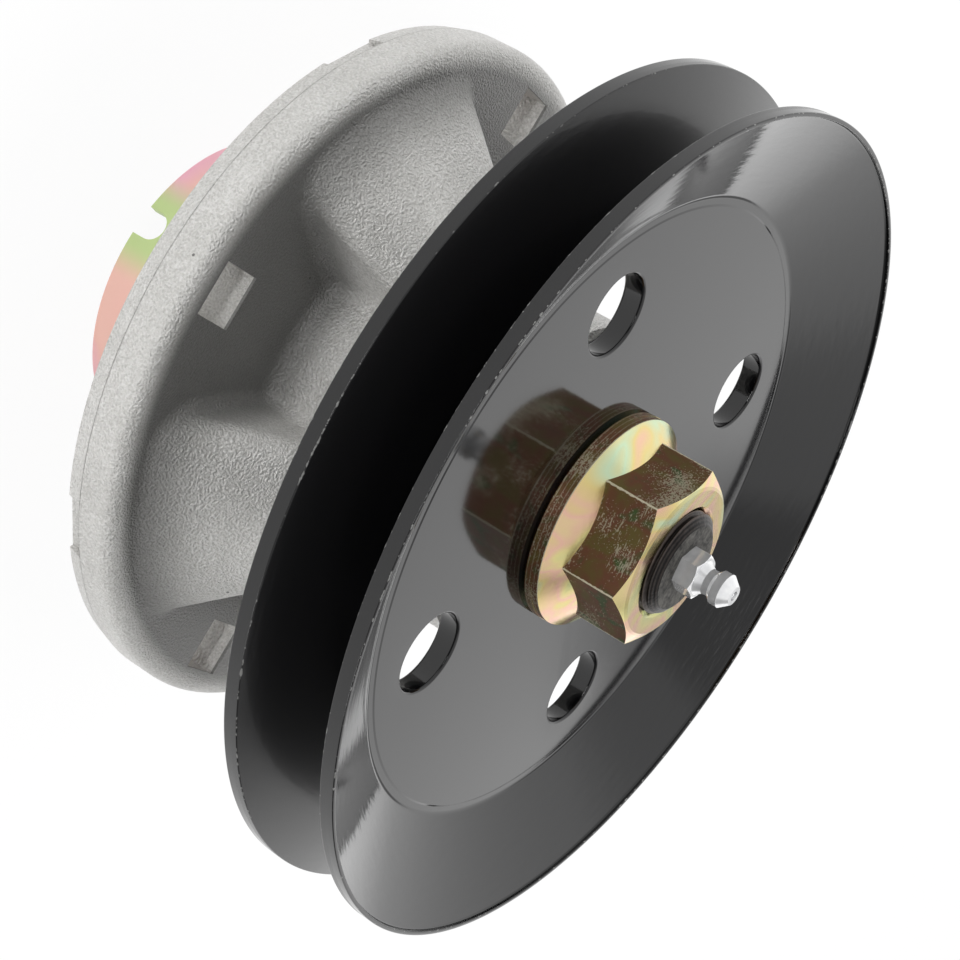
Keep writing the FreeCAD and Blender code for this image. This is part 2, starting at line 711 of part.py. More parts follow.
def make_housing():
    """Cast bearing housing: round flange, tall neck, four sloping lobes between the bolts."""
    body = new_body("housing")
    pilot, rim, neck = pilot_radius, flange_radius, neck_radius
    parting = deck_face + size["parting_line_height"]
    bevel = size["neck_edge_chamfer"]
    blank = turned(body, "blank", [
        (ZERO, housing_bottom), (pilot - size["pilot_chamfer"], housing_bottom),
        (pilot, housing_bottom + size["pilot_chamfer"]), (pilot, deck_face),
        (rim_lower_radius, deck_face), (rim, parting), (rim, flange_floor),
        (neck, flange_floor), (neck, neck_top - bevel), (neck - bevel, neck_top),
        (ZERO, neck_top)])
    eased(body, "Fillet", "rim_edge", blank,
          ring_edges(blank, rim, flange_floor), size["rim_edge_radius"])

    low = lobe_section(body, "lobe_foot", flange_floor, lobe_foot_radius,
                       size["lobe_half_angle"], size["lobe_corner_radius"])
    high = lobe_section(body, "lobe_head", lobe_head, cavity_radius,
                        size["lobe_half_angle"] - size["lobe_draft_angle"],
                        size["lobe_head_corner_radius"])
    lobe = body.newObject("PartDesign::AdditiveLoft", "housing_lobe")
    lobe.Profile = low
    lobe.Sections = [high]
    lobe.Ruled = True
    doc.recompute()
    lobes = repeated(body, lobe, low, LOBES)
    eased(body, "Fillet", "lobe_blend", lobes, blend_edges(lobes), size["casting_fillet"])

    square = new_sketch(body, "bolt_hole_outline", "XY_Plane", flange_floor)
    centre, half = bolt_circle_radius, size["bolt_square"] / 2
    rectangle(square, centre - half, centre + half, ZERO - half, half)
    repeated(body, pocketed(body, "bolt_hole", square), square, BOLT_HOLES)

    recess = new_sketch(body, "rim_recess_outline", "XY_Plane", deck_face, LOBE_TURN)
    half = size["rim_recess_width"] / 2
    bed = rim_lower_radius - size["rim_recess_depth"]
    rectangle(recess, bed, rim + size["rim_recess_depth"], ZERO - half, half)
    cut = pocketed(body, "rim_recess", recess, size["parting_line_height"], upward=True)
    repeated(body, cut, recess, LOBES)

    core = new_sketch(body, "core_outline", "XY_Plane", deck_face, LOBE_TURN)
    sector(core, core_inner_radius, core_outer_radius,
           size["core_half_angle"], size["core_corner_radius"])
    cut = pocketed(body, "core", core, size["core_depth"], upward=True)
    repeated(body, cut, core, LOBES)

    seat, cavity = size["bearing_radius"], cavity_radius
    groove = seat + size["ring_groove_depth"]
    thickness = size["ring_thickness"]
    grooved(body, "bore", [
        (ZERO, housing_bottom), (seat, housing_bottom), (seat, lower_bearing_bottom - thickness),
        (groove, lower_bearing_bottom - thickness), (groove, lower_bearing_bottom),
        (seat, lower_bearing_bottom), (seat, lower_bearing_top), (cavity, lower_bearing_top),
        (cavity, upper_bearing_bottom), (seat, upper_bearing_bottom), (seat, upper_bearing_top),
        (groove, upper_bearing_top), (groove, upper_bearing_top + thickness),
        (seat, upper_bearing_top + thickness), (seat, neck_top), (ZERO, neck_top)])
    return body


def make_pulley_half(label, side):
    """One pressed sheet: flat web, sloping belt flange and a narrow lip round its edge."""
    body = new_body(label)
    rim, groove_root, sheet_metal = (
        size["pulley_radius"], size["groove_root_radius"], size["pulley_sheet"])
    slope = size["groove_mouth"] / 2 / (rim - groove_root)
    stretch = root(slope * slope + 1)
    fold = groove_root - sheet_metal * (stretch - 1) / slope
    lip = rim - size["pulley_lip_width"]
    bevel = size["pulley_lip_bevel"]
    lip_foot = (lip - groove_root) * slope + sheet_metal * stretch

    def level(distance):
        return pulley_middle + distance * side

    half_width = size["pulley_width"] / 2
    pressing = turned(body, "pressing", [
        (ZERO, pulley_middle), (groove_root, pulley_middle),
        (rim, level(size["groove_mouth"] / 2)), (rim, level(half_width - bevel)),
        (rim - bevel, level(half_width)), (lip + bevel, level(half_width)),
        (lip, level(lip_foot)), (fold, level(sheet_metal)), (ZERO, level(sheet_metal))])
    inner_bend = size["pulley_bend_radius"]
    bent = eased(body, "Fillet", "inner_bend", pressing,
                 ring_edges(pressing, fold, level(sheet_metal)), inner_bend)
    eased(body, "Fillet", "outer_bend", bent,
          ring_edges(bent, groove_root, pulley_middle), inner_bend + sheet_metal)

    top = level(sheet_metal) if side > 0 else pulley_middle
    hub = new_sketch(body, "hub_outline", "XY_Plane", top)
    clearance = size["pulley_hub_clearance"]
    double_d(hub, size["shaft_radius"] + clearance, size["flats_half_width"] + clearance)
    pocketed(body, "hub_hole", hub)

    window = new_sketch(body, "window_outline", "XY_Plane", top)
    turn = size["pulley_hole_turn"]
    centre = size["pulley_hole_circle_radius"]
    circle(window, centre * cosine(turn), centre * sine(turn), size["pulley_hole_radius"])
    repeated(body, pocketed(body, "window", window), window, PULLEY_HOLES)
    return body


def make_washer():
    """Hard flat washer under the nut, its lower outer edge bevelled."""
    body = new_body("nut_washer")
    inside, outside, bevel = size["thread_radius"], size["washer_radius"], size["washer_chamfer"]
    turned(body, "turning", [
        (inside, pulley_top), (outside - bevel, pulley_top), (outside, pulley_top + bevel),
        (outside, nut_seat), (inside, nut_seat)])
    return body


def make_nut():
    """Hexagon nut with a conical flange."""
    body = new_body("flange_nut", size["nut_turn"])
    flange, flats = size["nut_flange_radius"], size["nut_across_flats"]
    edge = nut_seat + size["nut_flange_edge"]
    inner = flats / 2 - size["nut_flange_edge"]
    turned(body, "flange", [
        (ZERO, nut_seat), (flange, nut_seat), (flange, edge),
        (inner, edge + (flange - inner) * tangent(size["nut_flange_slope"])),
        (ZERO, edge + (flange - inner) * tangent(size["nut_flange_slope"]))])
    prism(body, "hexagon", flats, nut_seat, nut_top)
    crown_hexagon(body, "crown", flats, size["nut_face_radius"], nut_top, size["nut_chamfer_angle"])
    bore, sink = size["thread_radius"], size["nut_mouth_countersink"]
    grooved(body, "bore", [
        (ZERO, nut_seat), (bore, nut_seat), (bore, nut_top - sink),
        (bore + sink, nut_top), (ZERO, nut_top)])
    return body


def make_fitting_body():
    """Body of the grease fitting: thread, hexagon, neck and grease gun head."""
    body = new_body("grease_fitting_body", size["fitting_turn"])
    thread, neck, head = (
        size["fitting_thread_radius"], size["fitting_neck_radius"], size["fitting_head_radius"])
    shoulder = fitting_neck_top + head - neck
    turned(body, "turning", [
        (ZERO, fitting_bottom), (thread, fitting_bottom), (thread, fitting_hex_top),
        (neck, fitting_hex_top + size["fitting_neck_length"] / 2), (neck, fitting_neck_top),
        (head, shoulder), (head, shoulder + size["fitting_head_band"]),
        (size["fitting_tip_radius"], fitting_top), (ZERO, fitting_top)])
    flats = size["fitting_hex_across_flats"]
    prism(body, "hexagon", flats, shaft_end, fitting_hex_top)
    crown_hexagon(body, "crown", flats, thread + size["fitting_mouth_length"],
                  fitting_hex_top, size["nut_chamfer_angle"])
    passage, chamber, mouth = (
        size["fitting_passage_radius"], size["fitting_chamber_radius"], size["fitting_mouth_radius"])
    grooved(body, "grease_way", [
        (ZERO, fitting_bottom), (passage, fitting_bottom), (passage, spring_bottom),
        (chamber, spring_bottom), (chamber, mouth_bottom), (mouth, mouth_bottom),
        (mouth, fitting_top), (ZERO, fitting_top)])
    return body


def make_check_ball():
    """Steel ball that closes the mouth of the grease fitting."""
    ball = doc.addObject("Part::Sphere", "grease_fitting_ball")
    ball.Label = "grease_fitting_ball"
    ball.setExpression("Radius", size["check_ball_radius"].formula)
    ball.setExpression("Placement.Base.z", check_ball_height.formula)
    return ball


def make_check_spring():
    """Small coil spring that holds the ball against its seat."""
    body = new_body("grease_fitting_spring")
    half_wire = size["check_spring_wire"] / 2
    section = new_sketch(body, "wire_section", "XZ_Plane")
    circle(section, size["check_spring_radius"], spring_bottom + half_wire, half_wire)
    coil = body.newObject("PartDesign::AdditiveHelix", "grease_fitting_spring_coil")
    coil.Profile = section
    coil.ReferenceAxis = (section, ["V_Axis"])
    coil.Mode = "height-turns-angle"
    climb = size["check_spring_length"] - size["check_spring_wire"]
    coil.setExpression("Height", climb.formula)
    coil.Turns = SPRING_TURNS
    doc.recompute()
    return body


def make_every_piece():
    """All the pieces in order, from the blade end to the grease fitting."""
    seal_inset = size["seal_inset"]
    lower_seal = lower_bearing_bottom + seal_inset
    upper_seal = upper_bearing_top - seal_inset - size["seal_thickness"]
    pieces = [
        make_housing(),
        make_shaft(),
        make_cup(),
        make_collar("lower_spacer", cup_top, lower_bearing_bottom),
        make_retaining_ring("lower_retaining_ring", lower_bearing_bottom - size["ring_thickness"]),
        *make_bearing("lower", lower_bearing_bottom, lower_seal),
        make_bearing_spacer(),
        *make_bearing("upper", upper_bearing_bottom, upper_seal),
        make_retaining_ring("upper_retaining_ring", upper_bearing_top),
        make_collar("top_spacer", upper_bearing_top, pulley_bottom),
        make_pulley_half("pulley_lower_half", -1),
        make_pulley_half("pulley_upper_half", 1),
        make_washer(),
        make_nut(),
        make_fitting_body(),
        make_check_spring(),
        make_check_ball(),
    ]
    doc.recompute()
    return pieces


def check(pieces):
    """Stop if anything in the document failed or a piece has no sound solid."""
    for item in doc.Objects:
        if "Invalid" in item.State or "Error" in item.State:
            raise RuntimeError("{} did not compute: {}".format(item.Name, item.State))
    for piece in pieces:
        if piece.Shape.isNull() or not piece.Shape.isValid() or not piece.Shape.Solids:
            raise RuntimeError("{} has no sound solid".format(piece.Label))


pieces = make_every_piece()
check(pieces)
os.makedirs("parts", exist_ok=True)
for piece in pieces:
    piece.Shape.exportStep("parts/{}.step".format(piece.Label))
    print(piece.Label, len(piece.Shape.Solids), round(piece.Shape.Volume, 1))
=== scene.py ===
# %% [markdown]
# # A mower deck spindle with its belt pulley
#
# The object is a spare part that carries a mower blade: a cast housing is bolted to the mower
# deck, a shaft turns in it on two ball bearings, a black pressed pulley drives the shaft from
# above and a plated cup shields the lower bearing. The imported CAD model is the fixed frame. It
# gives the sizes, and this script makes the finishes and the pieces that need finer shapes.

# %% Load the frame
import math
import bmesh
import bpy
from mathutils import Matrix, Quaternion, Vector


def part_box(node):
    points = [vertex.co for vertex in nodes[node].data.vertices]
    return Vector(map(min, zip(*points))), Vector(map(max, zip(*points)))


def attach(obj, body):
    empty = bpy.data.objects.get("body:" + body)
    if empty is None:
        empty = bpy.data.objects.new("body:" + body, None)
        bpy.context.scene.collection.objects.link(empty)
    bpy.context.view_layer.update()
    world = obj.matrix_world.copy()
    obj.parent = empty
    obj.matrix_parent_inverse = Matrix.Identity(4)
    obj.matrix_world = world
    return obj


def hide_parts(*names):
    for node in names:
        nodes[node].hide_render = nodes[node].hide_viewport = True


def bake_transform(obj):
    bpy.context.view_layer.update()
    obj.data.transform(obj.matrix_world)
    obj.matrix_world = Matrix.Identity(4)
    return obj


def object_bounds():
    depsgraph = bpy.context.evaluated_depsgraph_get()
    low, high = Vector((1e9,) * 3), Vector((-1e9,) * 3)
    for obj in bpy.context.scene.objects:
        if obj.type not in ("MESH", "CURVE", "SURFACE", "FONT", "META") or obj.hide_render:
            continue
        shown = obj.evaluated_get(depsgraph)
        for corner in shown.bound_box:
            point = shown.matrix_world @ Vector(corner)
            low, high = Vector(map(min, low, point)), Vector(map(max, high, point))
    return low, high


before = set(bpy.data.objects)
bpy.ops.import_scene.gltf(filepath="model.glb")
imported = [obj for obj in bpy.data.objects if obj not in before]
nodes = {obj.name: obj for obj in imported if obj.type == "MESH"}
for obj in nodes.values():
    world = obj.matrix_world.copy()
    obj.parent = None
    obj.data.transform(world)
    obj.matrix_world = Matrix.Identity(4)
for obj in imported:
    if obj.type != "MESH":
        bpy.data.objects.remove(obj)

MM = 0.001
cad_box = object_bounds()
print("CAD nodes:", len(nodes), "box:", [round(v, 4) for corner in cad_box for v in corner])

# %% [markdown]
# ## Camera
#
# The photograph looks down on the spindle at about 26 degrees and is turned so that the shaft
# points to the right and up. A roll of the camera about its own line of sight gives the same
# picture while the object stands upright, which is how every piece below is measured.

# %% Camera
CAMERA_PLACE = Vector((4.7, -385.2, 252.0)) * MM
CAMERA_TILT = math.radians(25.60)
CAMERA_ROLL = math.radians(120.54)
CAMERA_LENS = 93.5

camera_data = bpy.data.cameras.new("camera")
camera_data.lens = CAMERA_LENS
camera_data.sensor_width = 36
camera = bpy.data.objects.new("camera", camera_data)
bpy.context.scene.collection.objects.link(camera)
bpy.context.scene.camera = camera
aim = Vector((0, math.cos(CAMERA_TILT), -math.sin(CAMERA_TILT)))
level_view = aim.to_track_quat("-Z", "Y")
camera.rotation_mode = "QUATERNION"
camera.rotation_quaternion = level_view @ Quaternion((0, 0, 1), CAMERA_ROLL)
camera.location = CAMERA_PLACE
print("camera at", [round(v, 4) for v in CAMERA_PLACE])

# %% [markdown]
# ## Node helpers
#
# Shader and geometry trees are easier to read when one call adds a node, sets its settings and
# fills its inputs. An input takes either a plain value or the output socket of another node.

# %% Helpers for node trees
def place(tree, kind, inputs=None, **settings):
    """Add a node; fill or link its inputs, given by name or number."""
    node = tree.nodes.new(kind)
    for name, value in settings.items():
        setattr(node, name, value)
    for name, value in (inputs or {}).items():
        socket = node.inputs[name]
        if isinstance(value, bpy.types.NodeSocket):
            tree.links.new(value, socket)
        else:
            socket.default_value = value
    return node


def math_node(tree, operation, first, second=0.0, third=0.0, clamp=False):
    """The output of a Math node, fed with values or sockets."""
    node = place(tree, "ShaderNodeMath", {0: first, 1: second, 2: third},
                 operation=operation, use_clamp=clamp)
    return node.outputs[0]


def multiply(tree, first, second):
    return math_node(tree, "MULTIPLY", first, second)


def subtract(tree, first, second):
    return math_node(tree, "SUBTRACT", first, second)


def scaled(tree, value, factor, offset, clamp=False):
    """The value times a factor, plus an offset."""
    return math_node(tree, "MULTIPLY_ADD", value, factor, offset, clamp)


def smooth_range(tree, value, start, end):
    """0 at start and 1 at end, with a soft change between them."""
    return place(tree, "ShaderNodeMapRange", {"Value": value, "From Min": start, "From Max": end},
                 interpolation_type="SMOOTHSTEP").outputs[0]


def noise(tree, vector, scale, detail=2.0, distortion=0.0):
    """A cloudy value about 0.5 that changes over the surface."""
    return place(tree, "ShaderNodeTexNoise", {
        "Vector": vector, "Scale": scale, "Detail": detail, "Distortion": distortion}).outputs[0]


def mix_colours(tree, share, under, over):
    """The colour under where the share is 0, and over where it is 1."""
    return place(tree, "ShaderNodeMix", {0: share, 6: under, 7: over}, data_type="RGBA").outputs[2]


def about_axis(tree, vector):
    """A position as x, y and z, its flat part and its distance from the Z axis."""
    x, y, z = place(tree, "ShaderNodeSeparateXYZ", {0: vector}).outputs
    flat = place(tree, "ShaderNodeCombineXYZ", {"X": x, "Y": y}).outputs[0]
    radius = place(tree, "ShaderNodeVectorMath", {0: flat}, operation="LENGTH").outputs["Value"]
    return x, y, z, flat, radius


def new_group(name, kind, inputs, outputs):
    """An empty node group with named sockets; returns the tree, its input and output node."""
    tree = bpy.data.node_groups.new(name, kind)
    for label, socket_kind, value in inputs:
        socket = tree.interface.new_socket(label, in_out="INPUT", socket_type=socket_kind)
        if value is not None:
            socket.default_value = value
    for label, socket_kind in outputs:
        tree.interface.new_socket(label, in_out="OUTPUT", socket_type=socket_kind)
    start = tree.nodes.new("NodeGroupInput")
    end = tree.nodes.new("NodeGroupOutput")
    return tree, start.outputs, end.inputs


def use_group(tree, group, inputs):
    """Put a shader group into a material's tree."""
    return place(tree, "ShaderNodeGroup", inputs, node_tree=group).outputs


def ramp(tree, factor, stops):
    """A colour ramp with stops given as (place, colour)."""
    node = place(tree, "ShaderNodeValToRGB", {"Fac": factor})
    marks = node.color_ramp.elements
    while len(marks) < len(stops):
        marks.new(0.5)
    for mark, (spot, colour) in zip(marks, stops):
        mark.position = spot
        mark.color = (*colour, 1)
    return node.outputs["Color"]


def new_material(name, **constants):
    """A material whose constant numbers sit on the shader's own sockets."""
    material = bpy.data.materials.new(name)
    material.use_nodes = True
    shader = material.node_tree.nodes["Principled BSDF"]
    for label, value in constants.items():
        shader.inputs[label.replace("_", " ")].default_value = value
    coordinates = material.node_tree.nodes.new("ShaderNodeTexCoord").outputs["Object"]
    return material, material.node_tree, shader, coordinates


def add_bump(tree, shader, height, distance, strength):
    """Give a shader the relief of a height value; distance is in metres."""
    bump = place(tree, "ShaderNodeBump", {
        "Height": height, "Distance": distance, "Strength": strength})
    tree.links.new(bump.outputs[0], shader.inputs["Normal"])


print("node helpers ready")

# %% [markdown]
# ## Studio
#
# The photograph has a plain white ground. The light comes mostly from the ground and from the
# far side, while the camera's own side is dark, which is why the nut's flats and the groove are
# dark and the rim is bright. The floor is white by its own colour. Camera rays and reflections
# also see a part of plain white on it, so that it stays white while the object's shadow stays.

# %% Floor
FLOOR_REACH = 6.0
FLOOR_GAP = 0.05 * MM
FLOOR_WHITE_SHARE = 0.95

bpy.ops.mesh.primitive_plane_add(size=2 * FLOOR_REACH, location=(0, 0, cad_box[0].z - FLOOR_GAP))
floor = bpy.context.object
floor.name = "floor"
floor_material, tree, shader, _ = new_material(
    "floor_white", Base_Color=(0.9, 0.9, 0.9, 1), Roughness=0.9)
path = place(tree, "ShaderNodeLightPath").outputs
white = place(tree, "ShaderNodeEmission", {"Strength": 1.0}).outputs[0]
mirrored = math_node(tree, "MAXIMUM", path["Is Glossy Ray"], path["Is Transmission Ray"])
seen_by_eye = math_node(tree, "MAXIMUM", path["Is Camera Ray"], mirrored)
share = multiply(tree, seen_by_eye, FLOOR_WHITE_SHARE)
seen = place(tree, "ShaderNodeMixShader", {0: share, 1: shader.outputs[0], 2: white})
tree.links.new(seen.outputs[0], tree.nodes["Material Output"].inputs["Surface"])
floor.data.materials.append(floor_material)
print("floor at", round(floor.location.z, 5))

# %% [markdown]
# ## Surroundings
#
# Gloss paint has almost no colour of its own, so it is drawn by what it mirrors. Patches of the
# white surroundings get a level of their own by direction, as the lamps, gaps and seams of a light
# tent would: dark ones on the camera's side and at the right, and a few narrow ones over the far
# side. A later patch lies over an earlier one. The camera itself sees plain white.

# %% Surrounding light
world = bpy.data.worlds.new("studio")
bpy.context.scene.world = world
world.use_nodes = True
tree = world.node_tree
direction = place(tree, "ShaderNodeTexCoord").outputs["Generated"]


def cone_mask(toward, outer_degrees, inner_degrees):
    """1 within the inner angle of a direction, falling to 0 at the outer angle."""
    along = place(tree, "ShaderNodeVectorMath", {0: direction, 1: Vector(toward).normalized()},
                  operation="DOT_PRODUCT").outputs["Value"]
    return smooth_range(tree, along, math.cos(math.radians(outer_degrees)),
                        math.cos(math.radians(inner_degrees)))


def heading(azimuth, elevation):
    """A direction from its angle off the far side and its height in degrees."""
    turn, lift = math.radians(azimuth), math.radians(elevation)
    return (math.sin(turn) * math.cos(lift), math.cos(turn) * math.cos(lift), math.sin(lift))


TENT_LEVEL = 1.2
# Each patch: its direction, its outer and inner angle in degrees, and its level.
PATCHES = (
    (heading(8, 5), 20, 8, 1.6),
    (heading(-105, 15), 50, 20, 0.9),
    (heading(96, 12), 46, 28, 0.15),
    ((0.62, -0.52, 0.50), 80, 55, 0.2),
    ((0.1, -0.1, 1), 47, 36, 0.85),
    (heading(0, 72), 10, 6, 0.5),
    (heading(-3, 62), 7, 3, 1.9),
    (heading(0, 46), 13, 8, 0.35),
    (heading(0, 17), 6, 3.5, 0.4))
level = TENT_LEVEL
for toward, outer, inner, brightness in PATCHES:
    mask = cone_mask(toward, outer, inner)
    level = place(tree, "ShaderNodeMix", {0: mask, 2: level, 3: brightness}).outputs[0]
camera_ray = place(tree, "ShaderNodeLightPath").outputs["Is Camera Ray"]
strength = place(tree, "ShaderNodeMix", {0: camera_ray, 2: level, 3: 1.0}).outputs[0]
tree.links.new(strength, tree.nodes["Background"].inputs["Strength"])
tree.nodes["Background"].inputs["Color"].default_value = (1, 1, 1, 1)
bpy.context.scene.view_settings.view_transform = "Standard"
print("surroundings with", len(PATCHES), "patches")

# %% [markdown]
# ## Soft lights
#
# Three soft lamps add to the surroundings. A wide one overhead lights the upward faces and is left
# out of reflections, so it puts no spot on the paint. Two low strips, in front and at the right,
# reach under the pulley to the housing's neck.

# %% Soft lights
def soft_light(name, direction, distance, width, height, watts):
    """A soft light that faces the object's middle and that the camera doesn't see."""
    data = bpy.data.lights.new(name, "AREA")
    data.shape = "RECTANGLE"
    data.size, data.size_y = width, height
    data.energy = watts
    light = bpy.data.objects.new(name, data)
    bpy.context.scene.collection.objects.link(light)
    middle = (cad_box[0] + cad_box[1]) / 2
    toward = Vector(direction).normalized()
    light.location = middle + toward * distance
    light.rotation_euler = (-toward).to_track_quat("-Z", "Y").to_euler()
    light.visible_camera = False
    return light


overhead = soft_light("overhead", (0, 0, 1), distance=2.0, width=0.8, height=0.8, watts=22.0)
overhead.visible_glossy = False
soft_light("low front", (0.12, -0.99, 0.22), distance=0.9, width=0.5, height=0.06, watts=1.7)
soft_light("low side", (0.86, -0.50, 0.06), distance=0.9, width=0.3, height=0.06, watts=0.75)
print("soft lights: overhead, low front and low side")

# %% [markdown]
# ## Turned pieces
#
# Most of this object is turned or pressed on a round former, so a half section swept once round
# the spindle axis gives it. The corner of a real piece is never sharp, and its small radius is
# what catches the light, so corners that show are rounded or chamfered in the section.

# %% Helpers for turned pieces
WELD_DISTANCE = 0.002 * MM


def rounded(points, radii, steps=4):
    """The section with its corners rounded; radii maps a corner's number to its radius."""
    result = []
    count = len(points)
    for index, (x, y) in enumerate(points):
        radius = radii.get(index, 0)
        if not radius:
            result.append((x, y))
            continue
        corner = Vector((x, y))
        back = (Vector(points[index - 1]) - corner).normalized()
        onward = (Vector(points[(index + 1) % count]) - corner).normalized()
        half = back.angle(onward) / 2
        centre = corner + (back + onward).normalized() * (radius / math.sin(half))
        start = corner + back * (radius / math.tan(half)) - centre
        end = corner + onward * (radius / math.tan(half)) - centre
        for step in range(steps + 1):
            result.append(tuple(centre + start.slerp(end, step / steps) * radius))
    return result


def divided(start, end, longest):
    """Points from start up to, but not at, end, no further apart than longest."""
    run = Vector(end) - Vector(start)
    count = max(1, math.ceil(run.length / longest))
    return [tuple(Vector(start) + run * (index / count)) for index in range(count)]


def sweep(mesh, points, segments):
    """Add rings of vertices for an open section and join them with faces."""
    rings = []
    for radius, height in points:
        if radius < 1e-9:
            rings.append([mesh.verts.new((0, 0, height))])
            continue
        turns = [2 * math.pi * index / segments for index in range(segments)]
        rings.append([mesh.verts.new((radius * math.cos(turn), radius * math.sin(turn), height))
                      for turn in turns])
    for lower, upper in zip(rings, rings[1:]):
        for index in range(segments):
            following = (index + 1) % segments
            corners = [lower[index % len(lower)], lower[following % len(lower)],
                       upper[following % len(upper)], upper[index % len(upper)]]
            mesh.faces.new(list(dict.fromkeys(corners)))


def finish_mesh(mesh, name, sharp_degrees=40):
    """Turn a bmesh into a linked object with outward faces and smooth shading."""
    bmesh.ops.remove_doubles(mesh, verts=mesh.verts, dist=WELD_DISTANCE)
    bmesh.ops.recalc_face_normals(mesh, faces=mesh.faces)
    data = bpy.data.meshes.new(name)
    mesh.to_mesh(data)
    mesh.free()
    piece = bpy.data.objects.new(name, data)
    bpy.context.scene.collection.objects.link(piece)
    data.shade_smooth()
    data.set_sharp_from_angle(angle=math.radians(sharp_degrees))
    weights = piece.modifiers.new("flat faces stay flat", "WEIGHTED_NORMAL")
    weights.keep_sharp = True
    return piece


print("turning helpers ready")

# %% [markdown]
# ## Pulley
#
# Two sheets are pressed to the same shape and set back to back. Each has a flat web, a fold, a
# sloping belt flange and a narrow lip. The web has a hole that fits the shaft's flats and four
# round holes. A boolean cut would leave ragged shading on gloss paint, so the web is filled as a
# flat face between its hole edges, and each hole has its own small rolled edge.

# %% Pulley sizes
half_low, half_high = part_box("pulley_upper_half")
PULLEY_RADIUS = half_high.x
PULLEY_MIDDLE = half_low.z
HALF_WIDTH = half_high.z - PULLEY_MIDDLE
SHEET = 2.0 * MM
GROOVE_ROOT = 58.6 * MM
HALF_MOUTH = 8.4 * MM
LIP_WIDTH = 0.75 * MM
BEND = 4.0 * MM
MOUTH_ROUND = 0.3 * MM
LIP_ROUND = 0.22 * MM
LIP_FOOT_ROUND = 0.5 * MM
SLOPE = HALF_MOUTH / (PULLEY_RADIUS - GROOVE_ROOT)
STRETCH = math.sqrt(1 + SLOPE ** 2)
WEB_EDGE = 54.0 * MM
WEB_RIM = 56.2 * MM
CREASE_DEPTH = 0.10 * MM
CREASE_WALL = 0.35 * MM
CREASE_BEND = 2.2 * MM
CREASE_ROUND = 0.18 * MM
SEGMENTS = 384
HOLE_SEGMENTS = 96
HOLE_RADIUS = 7.1 * MM
HOLE_CIRCLE = 42.84 * MM
HOLE_TURN = math.radians(48.7)
HOLES = 4
ROLLED_EDGE = 0.5 * MM
SHAFT_RADIUS = 12.55 * MM
FLATS_HALF_WIDTH = 10.55 * MM
print("pulley radius", round(PULLEY_RADIUS / MM, 2), "flange slope", round(SLOPE, 3))

# %% Pulley halves
def circle_points(centre, radius, count):
    return [(centre[0] + radius * math.cos(2 * math.pi * index / count),
             centre[1] + radius * math.sin(2 * math.pi * index / count))
            for index in range(count)]


def hub_points(radius, half_width, count):
    """A round hole with two flats: the circle's points held inside the flats."""
    return [(max(-half_width, min(half_width, x)), y)
            for x, y in circle_points((0, 0), radius, count)]


def loop(mesh, points, height):
    """A closed loop of vertices and edges at a height."""
    corners = [mesh.verts.new((x, y, height)) for x, y in points]
    edges = [mesh.edges.new((corner, corners[(index + 1) % len(corners)]))
             for index, corner in enumerate(corners)]
    return corners, edges


def bridge(mesh, first, second):
    """Faces between two loops of the same number of corners."""
    for index, corner in enumerate(first):
        following = (index + 1) % len(first)
        mesh.faces.new((corner, first[following], second[following], second[index]))


def hole_wall(mesh, points_at, levels):
    """The wall of a hole from loops of the same number of points; returns its end edges."""
    loops = [loop(mesh, points_at(offset), height) for offset, height in levels]
    for (first, _), (second, _) in zip(loops, loops[1:]):
        bridge(mesh, first, second)
    return loops[0][1], loops[-1][1]


def rolled_levels(height, far_height, edge):
    """(growth of the hole, height) pairs down a wall with a rolled edge at its near end."""
    away = 1 if height > far_height else -1
    arc = [math.radians(step * 22.5) for step in range(5)]
    rolled = [(edge * (1 - math.sin(turn)), height - away * edge * (1 - math.cos(turn)))
              for turn in arc]
    return rolled + [(0, far_height)]


